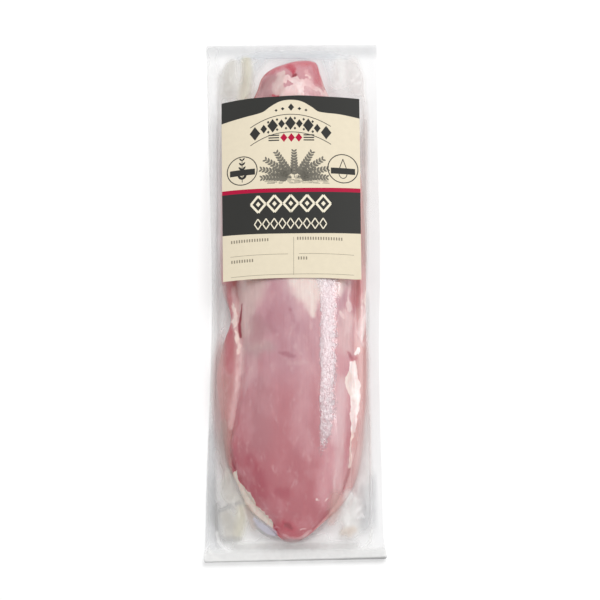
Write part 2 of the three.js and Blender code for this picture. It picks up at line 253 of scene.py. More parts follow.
def back_rise(x, y, seam_depth=SEAM_DEPTH, union=UNION_RADIUS):
    """Rise of the back over the widest line: the main muscle's arch out of the strap slab's, seams and swells."""
    closing = tip_rounding(y)
    middle, half = span_at(OUTLINE, y)
    muscle_middle, muscle_half = muscle_at(y)
    half = np.maximum(half, LEAST_WIDTH)
    muscle_half = np.maximum(muscle_half, LEAST_WIDTH)
    slab = arch((x - middle) / half, SLAB_FULLNESS)
    inside = np.minimum(1, slab / SIDE_FADE)
    slab_rise = (station(HEIGHTS, 2, y) - WAISTLINE) * slab
    dome = arch((x - muscle_middle) / muscle_half, MAIN_FULLNESS) * inside
    muscle_rise = (station(HEIGHTS, 1, y) - WAISTLINE) * dome
    opening = smoothstep(y, SEAM_NEAR - SEAM_FADE, SEAM_NEAR) * (1 - smoothstep(y, SEAM_FAR, SEAM_FAR + SEAM_FADE))
    seam = seam_depth * bell(np.abs(x - muscle_middle) - muscle_half, SEAM_WIDTH) * opening
    relief = fillet(slab_rise, muscle_rise, union) + swell_rise(x, y) - seam
    return (np.maximum(slab_rise, muscle_rise) + relief * inside) * closing


def skin_shape(y, across, on_top, gap=0.0, relief=None, seam_depth=SEAM_DEPTH, union=UNION_RADIUS):
    """Points of the meat's skin. Across runs from -1 to 1, relief is added upwards where the back is open to it,
    and a gap moves every point outwards."""
    closing = tip_rounding(y)
    middle, half = span_at(OUTLINE, y)
    x = middle + half * across
    depth = (waistline(y) - MEAT_REST) * arch(across, KEEL_FULLNESS) * closing
    rise = back_rise(x, y, seam_depth, union)
    if relief is not None:
        rise = rise + relief * np.minimum(1, arch(across, 2) / SIDE_FADE) * closing
    z = waistline(y) + np.where(on_top, rise, -depth)
    outward = np.stack(
        [across * closing, np.sign(y) * (1 - closing), np.where(on_top, 1, -1) * arch(across, 2) * closing], -1
    )
    outward = outward / np.maximum(np.linalg.norm(outward, axis=-1, keepdims=True), LEAST_LENGTH)
    return np.stack([x, y + 0 * x, z], -1) + outward * gap


def ring_places(count, evenness):
    """y of count rings from the near tip to the far one: a cosine spacing mixed with an even one."""
    share = np.linspace(0, 1, count)
    along = mix(-np.cos(np.pi * share), 2 * share - 1, evenness)
    return (MEAT_FAR + MEAT_NEAR) / 2 + (MEAT_FAR - MEAT_NEAR) / 2 * along


COLUMN_CROWDING = 0.6


def back_columns(y, strap_count, muscle_count):
    """For each y, places across the back from -1 to 1, closer together at the outline and at both seams."""
    middle, half = span_at(OUTLINE, y)
    muscle_middle, muscle_half = muscle_at(y)
    half = np.maximum(half, LEAST_WIDTH)
    left = ((muscle_middle - muscle_half - middle) / half)[:, None]
    right = ((muscle_middle + muscle_half - middle) / half)[:, None]
    strap = ((1 - np.cos(np.pi * np.arange(strap_count) / strap_count)) / 2)[None, :]
    share = np.linspace(-1, 1, muscle_count + 1)
    spread = mix(share, np.sin(share * np.pi / 2), COLUMN_CROWDING)[None, :]
    muscle = mix(left, right, (spread + 1) / 2)
    return np.concatenate([mix(-1, left, strap), muscle, mix(1, right, strap)[:, ::-1]], 1)


# Meshes from arrays.

def build_mesh(name, vertices, faces, attributes=None, smooth=True):
    """A mesh object from an array of points in millimetres and arrays of quads and triangles."""
    mesh = bpy.data.meshes.new(name)
    corners = np.concatenate([face.ravel() for face in faces])
    sizes = np.concatenate([np.full(len(face), face.shape[1]) for face in faces])
    mesh.vertices.add(len(vertices))
    mesh.vertices.foreach_set("co", (np.asarray(vertices, np.float64) * MM).ravel())
    mesh.loops.add(len(corners))
    mesh.loops.foreach_set("vertex_index", corners.astype(np.int32))
    mesh.polygons.add(len(sizes))
    mesh.polygons.foreach_set("loop_start", (np.cumsum(sizes) - sizes).astype(np.int32))
    mesh.update(calc_edges=True)
    mesh.polygons.foreach_set("use_smooth", np.full(len(sizes), smooth))
    for label, values in (attributes or {}).items():
        values = np.asarray(values, np.float32)
        kind, key = ("FLOAT_COLOR", "color") if values.ndim == 2 else ("FLOAT", "value")
        layer = mesh.attributes.new(label, kind, "POINT")
        layer.data.foreach_set(key, values.ravel())
    mesh.validate()
    piece = bpy.data.objects.new(name, mesh)
    bpy.context.collection.objects.link(piece)
    return piece


def grid_quads(rows, columns, first=0, close_columns=False):
    """Quads between neighbouring points of a grid stored row by row. Closed columns wrap round to the first."""
    wide = columns if close_columns else columns - 1
    r, c = np.meshgrid(np.arange(rows - 1), np.arange(wide), indexing="ij")
    n = (c + 1) % columns
    quads = np.stack([r * columns + c, r * columns + n, (r + 1) * columns + n, (r + 1) * columns + c], -1)
    return quads.reshape(-1, 4) + first


def pole_fans(rows, columns, closed=False):
    """Triangles that join a grid's first row to a near pole and its last row to a far one. Both poles are stored
    after the grid's points."""
    ring = np.arange(columns)
    here, there = (ring, np.roll(ring, -1)) if closed else (ring[:-1], ring[1:])
    pole = np.full(len(here), rows * columns)
    last = (rows - 1) * columns
    return [np.stack([pole, there, here], -1), np.stack([last + here, last + there, pole + 1], -1)]


# Paint.

# The cells of the slow and of the fine noise by which strokes wander, and the length from which they may fade.
SLOW_CELL = (9, 14)
FINE_CELL = (2.6, 4.2)
LONG_STROKE = 35


def drift(x, y, seed, fine=1.0):
    """How far brush strokes wander across and along at each place: slow noise plus fine noise, both drawn out
    along the muscle."""
    slow = (x / SLOW_CELL[0], y / SLOW_CELL[1])
    quick = (x / FINE_CELL[0], y / FINE_CELL[1])
    across = 1.1 * fractal_noise(*slow, seed, 2) + 0.9 * fine * fractal_noise(*quick, seed + 20, 3)
    along = 2.2 * fractal_noise(*slow, seed + 40, 2) + 1.4 * fine * fractal_noise(*quick, seed + 60, 3)
    return across, along


def stroke(x, y, points):
    """Distance from the middle of a brush stroke through points of x, y and half width, in half widths."""
    reach = np.full(x.shape, np.inf)
    for (ax, ay, aw), (bx, by, bw) in zip(points[:-1], points[1:]):
        length = (bx - ax) ** 2 + (by - ay) ** 2
        s = np.clip(((x - ax) * (bx - ax) + (y - ay) * (by - ay)) / length, 0, 1)
        reach = np.minimum(reach, np.hypot(x - mix(ax, bx, s), y - mix(ay, by, s)) / mix(aw, bw, s))
    return reach


def covers(x, y, strokes, seed, fine=1.0, fade=0.0):
    """For each stroke its tint's name and its cover: its strength well inside, 0 outside, with a soft edge. A
    stroke that is long in Y also dies away at its ends, over the given share of its length."""
    across, along = drift(x, y, seed, fine)
    for name, strength, softness, wander, points in strokes:
        reach = stroke(x + wander * across, y + wander * along, points)
        cover = strength * (1 - smoothstep(reach, 1 - softness, 1 + softness))
        near, far = min(p[1] for p in points), max(p[1] for p in points)
        if fade and far - near > LONG_STROKE:
            end = fade * (far - near)
            cover = cover * smoothstep(y, near, near + end) * (1 - smoothstep(y, far - end, far))
        yield name, cover


def tinted(colour, name, cover):
    """A colour with a tint laid over it."""
    return mix(colour, np.array(TINTS[name]), cover[..., None])


def lay_over(amount, colour, name, cover):
    """A tint laid over what is painted already: the new amount, and the colour of it all."""
    total = cover + amount * (1 - cover)
    share = cover / np.maximum(total, LEAST_WIDTH)
    return total, tinted(colour, name, share)


def linear(colour):
    """Linear colour with alpha from colours as seen, from 0 to 255."""
    share = np.clip(np.asarray(colour, float), 0, 255) / 255
    value = np.where(share <= 0.04045, share / 12.92, ((share + 0.055) / 1.055) ** 2.4)
    return np.concatenate([value, np.ones((*value.shape[:-1], 1))], -1)


# Colours as seen, from 0 to 255.
TINTS = {
    "blush": (216, 160, 166), "lilac": (192, 148, 158), "mauve": (188, 134, 144), "plum": (168, 104, 118),
    "greige": (182, 150, 150), "veil": (208, 172, 174), "red": (180, 88, 100), "deep": (170, 66, 82),
    "sheet": (209, 181, 176), "cream": (240, 226, 217), "rose": (200, 130, 134), "pale": (222, 188, 187),
    "white": (255, 244, 240), "deeprose": (176, 98, 104), "tan": (184, 136, 132), "blushtan": (218, 174, 170),
    "fat": (247, 231, 222), "rim": (222, 212, 200), "greyfat": (214, 188, 184), "pinkfat": (234, 206, 204),
    "blood": (140, 38, 52), "crimson": (180, 40, 62), "tipred": (192, 96, 106), "pinkhaze": (226, 198, 196),
    "haze": (236, 232, 230), "grey": (196, 197, 199), "greycream": (216, 213, 206), "shade": (170, 170, 170),
    "lilacwhite": (214, 214, 228), "pinkcream": (236, 210, 204), "milkcream": (228, 224, 206),
    "milk_and_highlight_white": (248, 248, 246), "bluehaze": (218, 222, 226), "palefat": (240, 220, 212), "frost": (240, 240, 239),
    "edge": (140, 140, 140), "milkrose": (226, 194, 198), "dimmauve": (168, 116, 123), "dullrose": (160, 120, 120),
    "label_haze_and_shade": (216, 205, 200), "dull": (206, 190, 184), "painted_light": (255, 255, 255), "foot": (230, 212, 194),
}

# The muscle's colour along its length: y, red, green, blue.
MUSCLE_ALONG = [
    (-163, 194, 104, 114), (-130, 185, 103, 112), (-95, 187, 113, 121), (-55, 194, 132, 140),
    (-15, 200, 148, 155), (161, 198, 144, 150),
]

# The straps' colours: left and right. The right one is paler, partly painted light from the right side.
STRAP_LEFT = (186, 134, 132)
STRAP_RIGHT = (216, 172, 168)

# Strokes: tint, strength, softness, how far they wander, and points of x, y and half width.
MUSCLE_STROKES = [
    # The right of the muscle, lighter: painted light falling from the right side.
    ("blush", 0.75, 0.9, 1, [(27.2, -11.5, 8.5), (28, -50.4, 9.1), (27.6, -88.6, 8.5), (24.8, -113.9, 7.8),
        (19.5, -135.4, 5.9)]),
    # The upper middle, lilac.
    ("lilac", 0.55, 0.9, 1, [(-11.6, -1.6, 10.4), (-7.2, -15.6, 13), (-4.8, -32, 15.6), (-3.6, -46.3, 13)]),
    # Rose under the mauve.
    ("mauve", 0.8, 0.8, 1, [(-13.6, -6.7, 5.2), (-13.6, -19.8, 7.8), (-7.3, -30.6, 9.1), (2.8, -32.1, 6.5)]),
    # Darker spots of the mauve.
    ("plum", 0.5, 0.8, 1, [(-15.5, -19.7, 2), (-16.2, -27.5, 2.3), (-12.4, -32.3, 2)]),
    # Another spot.
    ("plum", 0.5, 0.8, 1, [(-2.8, -18.3, 1.3), (2.2, -27.6, 1.6), (2.8, -32.1, 1.3)]),
    # The grey patch.
    ("greige", 0.7, 0.8, 1, [(-30.5, -40.3, 4.5), (-22.7, -43.7, 4.5), (-15, -42.6, 3.2)]),
    # A pale patch at its left.
    ("veil", 0.5, 0.8, 1, [(-26.5, -49.5, 3.2), (-25.9, -57.5, 3.2), (-29.8, -64.5, 3.2)]),
    # The smooth middle.
    ("mauve", 0.35, 0.8, 0.6, [(-24, -63, 5.2), (-13.8, -57.5, 7.8), (-1.2, -59.2, 8.5)]),
    # The lower left side, redder and darker: the darkness is partly painted shade on the side away from the light.
    ("red", 0.65, 0.9, 1, [(-34.3, -90.5, 5.2), (-32.4, -105.1, 7.2), (-27.4, -119.6, 9.8), (-21.9, -134.9, 9.1),
        (-13.2, -147.2, 7.2)]),
    # Deep rose patches.
    ("deep", 0.95, 0.75, 1.2, [(-27.3, -112.3, 2.9), (-24.2, -121, 4.2), (-21.8, -129, 3.2)]),
    # More of them.
    ("deep", 0.8, 0.75, 1.2, [(-30.6, -122.7, 3.2), (-23.7, -132.4, 3.9), (-18.1, -138.2, 3.2)]),
    # A blotch lower down.
    ("deep", 0.65, 0.75, 1, [(-9.9, -132.6, 2.9), (-5.5, -135.1, 2.9)]),
    # The left edge of the muscle.
    ("deep", 0.7, 0.9, 0.8, [(-39.7, -99.8, 1.3), (-39, -107.7, 2), (-37.1, -116.4, 2.1)]),
    # The lens.
    ("plum", 0.75, 0.5, 0.5, [(-8.7, -46.2, 1), (-4.2, -47.9, 1.8), (0.2, -48.9, 1)]),
    # Pale line under the lens.
    ("veil", 0.4, 0.9, 1.4, [(-6.8, -51.4, 0.8), (-0.5, -52.8, 1.3), (7.7, -52.2, 1)]),
    # Bands across the muscle.
    ("mauve", 0.4, 0.9, 1, [(-6.1, -40.4, 2), (5.9, -39.9, 2)]),
    # The broad sheet at the upper left.
    ("sheet", 0.92, 0.45, 1.2, [(-26.4, 7.9, 9.8), (-26.4, 0.1, 9.8), (-27.8, -6.7, 9.1), (-30.8, -12.9, 7.8),
        (-31.8, -19.9, 7.2), (-29.8, -28.8, 5.9)]),
    # Its thin lower end.
    ("sheet", 0.45, 0.8, 1.2, [(-26.5, -29.8, 5.9), (-23.3, -38.3, 4.5)]),
    # The cream sheet beside the label.
    ("cream", 0.9, 0.7, 1.2, [(5.1, 8.6, 9.8), (5.6, -0, 9.8), (8.1, -7.3, 8.1), (11.2, -13.8, 5.2),
        (12.4, -20.4, 2.6)]),
    # Its shadowed left edge.
    ("lilac", 0.35, 0.8, 1, [(-5.9, -1.8, 2.6), (-3.4, -10.5, 2.6), (1.7, -19.1, 2.6)]),
    # The pale field of the streak: partly pale skin, partly the bright reflection painted into the colour.
    ("cream", 0.15, 0.8, 0.5, [(22.3, 7.8, 6.5), (22.1, -12, 6.2), (21.8, -38.2, 5.5), (21.5, -63.9, 5.2),
        (20.9, -92.3, 5.2)]),
    # Thin folds beside the streak.
    ("mauve", 0.5, 0.6, 0.8, [(13, -24.3, 0.7), (13.2, -38.6, 0.8), (12.4, -52.8, 0.7)]),
    # Another fold.
    ("mauve", 0.45, 0.6, 0.8, [(16, -15.7, 0.7), (15.5, -35.3, 0.7), (15.7, -59.1, 0.5)]),
    # The pale join of sheet and streak.
    ("cream", 0.75, 0.9, 0.8, [(15.9, 8.8, 5.2), (15.8, -1.9, 4.5), (15.1, -11.1, 2.6)]),
    # The strip right of the streak.
    ("lilac", 0.75, 0.6, 0.8, [(30.9, -1, 2.6), (30.7, -14.2, 2.6), (29.9, -25.5, 2)]),
    # A pale line in the upper right.
    ("white", 0.4, 0.8, 1.4, [(36.5, 1.8, 1), (35.7, -7, 1), (36.3, -15.3, 1.2)]),
    # Pink beside the upper right edge.
    ("rose", 0.7, 0.6, 0.8, [(40.7, 7.2, 3.6), (40.2, -2.1, 2.9), (39.1, -9.6, 2)]),
    # The lower half of the upper right.
    ("pale", 0.8, 0.7, 1, [(34.9, -21.8, 4.5), (33.4, -31.9, 5.9), (32.7, -40.5, 5.2)]),
    # The long membrane at the lower right.
    ("pale", 0.6, 0.7, 1, [(29.8, -62.9, 2.6), (28.9, -88.4, 2.9), (28.3, -110.5, 2.9), (27.2, -125.9, 2.9),
        (25.6, -140.4, 2.7), (24.6, -147.7, 2.6)]),
    # Light lines of the lower right.
    ("white", 0.3, 0.8, 1, [(25.6, -120, 0.5), (24.6, -133.3, 0.6), (24.2, -144.7, 0.5)]),
    # Dimmer left of the middle.
    ("dimmauve", 0.65, 0.9, 1.2, [(-23.9, -25.1, 3.9), (-22, -32.7, 5.2), (-17.5, -31.3, 3.9)]),
    # The dim band down the middle.
    ("dimmauve", 0.38, 0.9, 0.8, [(-20.2, -64.7, 4.5), (-20.2, -77.6, 6.5), (-22.8, -90.2, 8.5),
        (-22.8, -102.8, 8.5)]),
    # The lighter upper middle.
    ("milkrose", 0.22, 0.9, 1, [(4.2, -20.4, 5.2), (5.4, -32.1, 7.8), (7.8, -43.8, 6.5), (8.9, -58, 4.5)]),
    # A greyer veil beside the streak.
    ("milkrose", 0.3, 0.9, 0.8, [(6.3, -67.5, 4.5), (5.6, -83.4, 5.9), (5.4, -99, 6.5), (8.5, -108.3, 5.2)]),
    # The milky skin round the streak's end.
    ("milkrose", 0.6, 0.9, 1, [(29.1, -66.2, 2.6), (27.7, -79.1, 4.5), (26.3, -92.5, 5.9), (25.5, -100.1, 3.9)]),
    # The same lower down.
    ("milkrose", 0.2, 0.9, 1, [(27.3, -110.6, 3.9), (28.5, -122.7, 3.9), (28.5, -134.2, 2.6)]),
    # The pale right of the streak at the label.
    ("palefat", 0.75, 0.9, 0.8, [(30.1, 10.1, 4.5), (30, 0.8, 3.9), (29.2, -7.3, 2)]),
    # The deep lower left: a darker red, partly painted shade on the side away from the light.
    ("deep", 0.35, 0.9, 1, [(-30.5, -114.5, 3.9), (-26.8, -125.5, 6.5), (-19.3, -136.9, 6.5)]),
    # Soft mottle of the upper right.
    ("pinkfat", 0.5, 0.8, 1.6, [(34.2, -20.6, 2), (37.5, -23, 2), (34.7, -32.2, 2)]),
]
STRAP_STROKES = [
    # The left strap at the label.
    ("rose", 0.85, 0.5, 0.8, [(-40.9, 8.6, 4.5), (-40.9, 0.8, 3.9), (-40, -7, 2.3), (-40.4, -14.9, 1.3)]),
    # The left strap below the slit.
    ("deeprose", 0.85, 0.5, 0.8, [(-41.7, -28.4, 2), (-41.9, -38.7, 2.9), (-41.9, -46.8, 2.9), (-40.9, -54.1, 2.3)]),
    # The left strap, tan.
    ("tan", 0.7, 0.8, 1.3, [(-44.8, -59.7, 2), (-45.4, -71.3, 2.6), (-44.1, -82.3, 2.9), (-42.3, -95.6, 2.6)]),
    # Its pale outer side.
    ("pale", 0.6, 0.8, 1, [(-48.4, -39.1, 1.6), (-48.7, -59.2, 2), (-48.6, -77.4, 2), (-47, -96.9, 2)]),
    # The lower end of the left strap.
    ("tan", 0.8, 0.8, 1, [(-41.6, -91.8, 2.6), (-42.6, -104.4, 2.6), (-42.5, -115.1, 2.6)]),
    # The right strap at the label.
    ("rose", 0.7, 0.6, 0.8, [(41.9, 8.4, 2.6), (41.8, -2.4, 2.6), (41.3, -11.6, 2)]),
    # The right strap.
    ("blushtan", 0.85, 0.7, 0.8, [(43.8, -37.4, 3.9), (43.5, -57, 3.9), (42.9, -76.4, 3.9), (41.1, -95.7, 3.9),
        (39, -108.5, 3.9)]),
    # Its pale lower end.
    ("pale", 0.8, 0.7, 0.8, [(39.6, -108.5, 4.5), (37.5, -121.2, 5.2), (34.3, -133.1, 5.2), (30.3, -143.9, 4.5)]),
    # The line between muscle and strap.
    ("deeprose", 0.6, 0.6, 0.6, [(36.1, -112.6, 0.7), (33.7, -120.4, 0.8), (31.4, -127.4, 0.8), (29.7, -135.3, 0.7)]),
    # The pale chain left of the slit.
    ("pale", 0.75, 0.6, 1.2, [(-38.3, -0.5, 2), (-37.7, -8.3, 2.5), (-37.4, -16.8, 2.9), (-36.8, -26.9, 2.3)]),
    # The pale chain below the slit.
    ("pinkfat", 0.62, 0.9, 1.2, [(-34.5, -36.6, 2.3), (-33.9, -46.5, 2.6), (-35.2, -58.3, 2.5), (-37.4, -71.4, 2.3),
        (-39.1, -81.6, 2), (-40.1, -90.4, 1.3)]),
    # Brighter strands of it.
    ("pinkfat", 0.5, 0.7, 1.6, [(-33.3, -41.3, 1), (-33.6, -50.4, 1.2), (-35.5, -59.6, 1), (-37.4, -67.6, 1)]),
    # The pale edge right of the slit.
    ("pale", 0.5, 0.7, 1, [(-31.8, -12.3, 1), (-31.9, -22.4, 1.3), (-31.9, -32.8, 1.3)]),
    # The pale ground of the right cluster.
    ("pale", 0.6, 0.8, 1.4, [(44.3, -5.4, 2), (43.5, -17.9, 3.2), (43.3, -32.9, 3.2)]),
    # Pale mottle of the red end.
    ("pinkfat", 0.7, 0.7, 1.8, [(9.5, 148.6, 1), (13.4, 143.2, 1.8), (12, 135.1, 2)]),
    # Pale mottle at the label.
    ("pinkfat", 0.45, 0.7, 1.8, [(9.3, 130.5, 2), (16, 132.8, 2.2), (22, 134.9, 2)]),
]
FAT_STROKES = [
    # Lumps of the left chain.
    ("palefat", 0.62, 0.8, 1.6, [(-39.7, -8.3, 1.3), (-38.4, -16, 1.7), (-37.7, -25.6, 1.8)]),
    # A second part of it.
    ("palefat", 0.55, 0.9, 1.2, [(-37.1, -29.7, 1.7), (-35.8, -36.9, 2), (-35.2, -44, 1.4)]),
    # A cluster at the right edge.
    ("fat", 0.8, 0.6, 1.8, [(47.6, 2.3, 0.8), (46.9, -5.5, 1.4), (46.1, -11.3, 2)]),
    # Its lower lumps.
    ("pinkfat", 0.75, 0.7, 1.8, [(44.8, -15.1, 2.2), (44.4, -22.4, 2.6), (44.3, -29.5, 2.2), (45.5, -34.4, 1.2)]),
    # White on it.
    ("white", 0.6, 0.7, 1.6, [(45.8, -18, 1.2), (45, -25.5, 1.3), (45.2, -31.9, 0.9)]),
    # A round lump.
    ("white", 0.9, 0.5, 1.2, [(39.5, -42.6, 1), (40.8, -41, 1.7), (42.1, -39.5, 1.4)]),
    # The ridge over the right strap.
    ("white", 1, 0.3, 1.1, [(37.7, -50.1, 1.6), (37.5, -57.9, 3), (37.8, -65.6, 3.8), (38.2, -73.3, 3.2),
        (38.1, -80.9, 2.7), (37.7, -87.9, 2), (37, -94.8, 1)]),
    # Its left bulge.
    ("fat", 0.9, 0.5, 1.3, [(35.1, -58.9, 1.3), (33.3, -64.7, 1.8), (34.3, -68.7, 1.6)]),
    # The thread below the ridge.
    ("fat", 0.9, 0.4, 1.2, [(36.6, -94.8, 0.8), (35.9, -101.9, 0.7), (36, -106.9, 1), (35.6, -114.6, 0.8)]),
    # The rim of the lower left.
    ("rim", 1, 0.3, 1.3, [(-37.8, -119.4, 1.3), (-35.7, -126.1, 2.1), (-32.9, -132.5, 2.9), (-29.1, -139.6, 3.5),
        (-24.1, -144.7, 3.6), (-19, -148.8, 3.2), (-14.6, -153.1, 2)]),
    # The grey lump of the cut end.
    ("greyfat", 1, 0.4, 1.6, [(-7.8, 145.3, 3), (-9.1, 139, 3.9), (-8.5, 132, 4.2)]),
    # The bright lumps of the cut end.
    ("pinkfat", 1, 0.5, 1.8, [(-3.1, 141.7, 2.2), (2.1, 141.9, 2.9), (6.7, 137, 3.5), (4.7, 130.9, 4.2),
        (-2.5, 131.2, 3.9)]),
    # White on them.
    ("white", 0.45, 0.6, 1.4, [(0.8, 139.9, 1.6), (4.8, 137.9, 2), (6.7, 132.6, 2)]),
    # The right lump of the cut end.
    ("pinkfat", 0.75, 0.6, 1.8, [(11.4, 138.6, 2.6), (16, 135.8, 2.9), (22.7, 135.9, 2.3)]),
    # Small lumps above it.
    ("fat", 0.7, 0.6, 1.4, [(10.1, 145.3, 1), (12.8, 143.1, 1.2)]),
    # The rim of the tip.
    ("pinkfat", 1, 0.4, 0.3, [(-7, -159, 0.6), (-3.3, -160.5, 0.8), (1.1, -161.1, 1), (5.5, -159.9, 0.9),
        (10, -156.5, 0.6)]),
    # A fleck of the right strip.
    ("pinkfat", 0.75, 0.6, 0.6, [(30.3, -19.6, 0.9), (31.9, -22.5, 1.3)]),
    # Flecks of the right strip.
    ("pinkfat", 0.8, 0.6, 1.2, [(35, -9.9, 0.8), (35.4, -13.7, 1.2), (35.6, -17.6, 1)]),
    # Sparks across the lower right: pale flecks with painted glints, laid in as fat.
    ("pinkfat", 0.66, 0.7, 1.2, [(13.9, -138.2, 0.5), (15.7, -137.4, 0.5)]),
    # More of these flecks and painted glints.
    ("pinkfat", 0.7, 0.7, 1.2, [(19.2, -137.7, 0.5), (20.8, -136.9, 0.5)]),
    # Painted glints beside the blotch of the tip, laid in as fat.
    ("white", 0.7, 0.5, 0.6, [(-12, -153.7, 0.5), (-10.1, -155.1, 0.5)]),
    # Painted glints right of it.
    ("white", 0.7, 0.5, 0.6, [(3.7, -155.5, 0.4), (6.8, -156.1, 0.5)]),
]
BLOOD_STROKES = [
    # The slit of the left seam.
    ("blood", 0.9, 0.6, 0.4, [(-33.5, -10.5, 0.5), (-33.9, -17.2, 0.6), (-34.8, -23.9, 0.9), (-34.7, -28.6, 0.8),
        (-33.9, -32.6, 0.5)]),
    # Red beside the slit.
    ("red", 0.6, 0.8, 0.8, [(-41.6, -15.1, 0.8), (-41.1, -23.4, 1), (-41, -29.3, 1.3)]),
    # Dots of the mauve.
    ("plum", 0.8, 0.6, 0.6, [(-2.4, -18.3, 0.7), (-1.5, -19.3, 0.7)]),
    # Dots beside the round lump.
    ("blood", 0.6, 0.6, 0.8, [(35.6, -44.2, 1), (36.2, -46.4, 0.9)]),
    # Red under the round lump.
    ("red", 0.55, 0.8, 0.8, [(37.2, -47.1, 1.6), (39.2, -46, 1.6)]),
    # The blotch of the tip.
    ("crimson", 0.75, 0.9, 0.8, [(-10.1, -154.8, 2.6), (-5.1, -154.5, 3.2), (-0.7, -156.9, 2.6)]),
    # Its dark middle.
    ("blood", 0.75, 0.7, 1, [(-6.3, -154.2, 1), (-4.4, -153.4, 1.4), (-2.3, -154, 1)]),
    # Pink of the tip.
    ("tipred", 0.55, 0.8, 0.8, [(-8.3, -157.8, 3.2), (1.1, -159.2, 3.2), (8.7, -156.2, 2.6)]),
    # The edge of the lower left.
    ("blood", 0.35, 0.8, 1, [(-40, -106, 0.7), (-39.4, -111.5, 0.9), (-37.8, -116.6, 0.8)]),
    # The red end.
    ("tipred", 0.85, 0.8, 0.8, [(-15.8, 149.5, 2), (-7.1, 154.2, 2.6), (3.6, 156.8, 3.2), (14.9, 158.2, 3.6),
        (17.5, 149.4, 2.6), (18.1, 141, 2)]),
    # The shoulder of the cut end.
    ("tipred", 0.25, 0.9, 1.2, [(7.5, 151.9, 3.2), (12.1, 145.5, 3.9), (14.7, 137.6, 3.2)]),
    # The deep left rim of the cut end.
    ("crimson", 0.35, 0.8, 1, [(-19.9, 139.3, 1.3), (-15.8, 145.8, 1.6), (-10.5, 151.1, 1.6)]),
    # The dull left of the cut end.
    ("dullrose", 0.75, 0.8, 1, [(-13.1, 144.9, 3.2), (-17.2, 139.6, 3.9), (-16.4, 131.2, 3.9)]),
    # The blush of the cut end.
    ("crimson", 0.85, 0.7, 0.8, [(-1.5, 153.3, 2.3), (0.9, 150.9, 2.2), (1.5, 147.4, 1.3)]),
    # The dot of the cut end.
    ("blood", 1, 0.5, 0.4, [(1.2, 145.4, 1.2), (2.7, 145.6, 1.2)]),
    # A spot at the label.
    ("crimson", 0.85, 0.6, 0.8, [(-12.4, 130.3, 1), (-9.8, 128.7, 1.2)]),
]
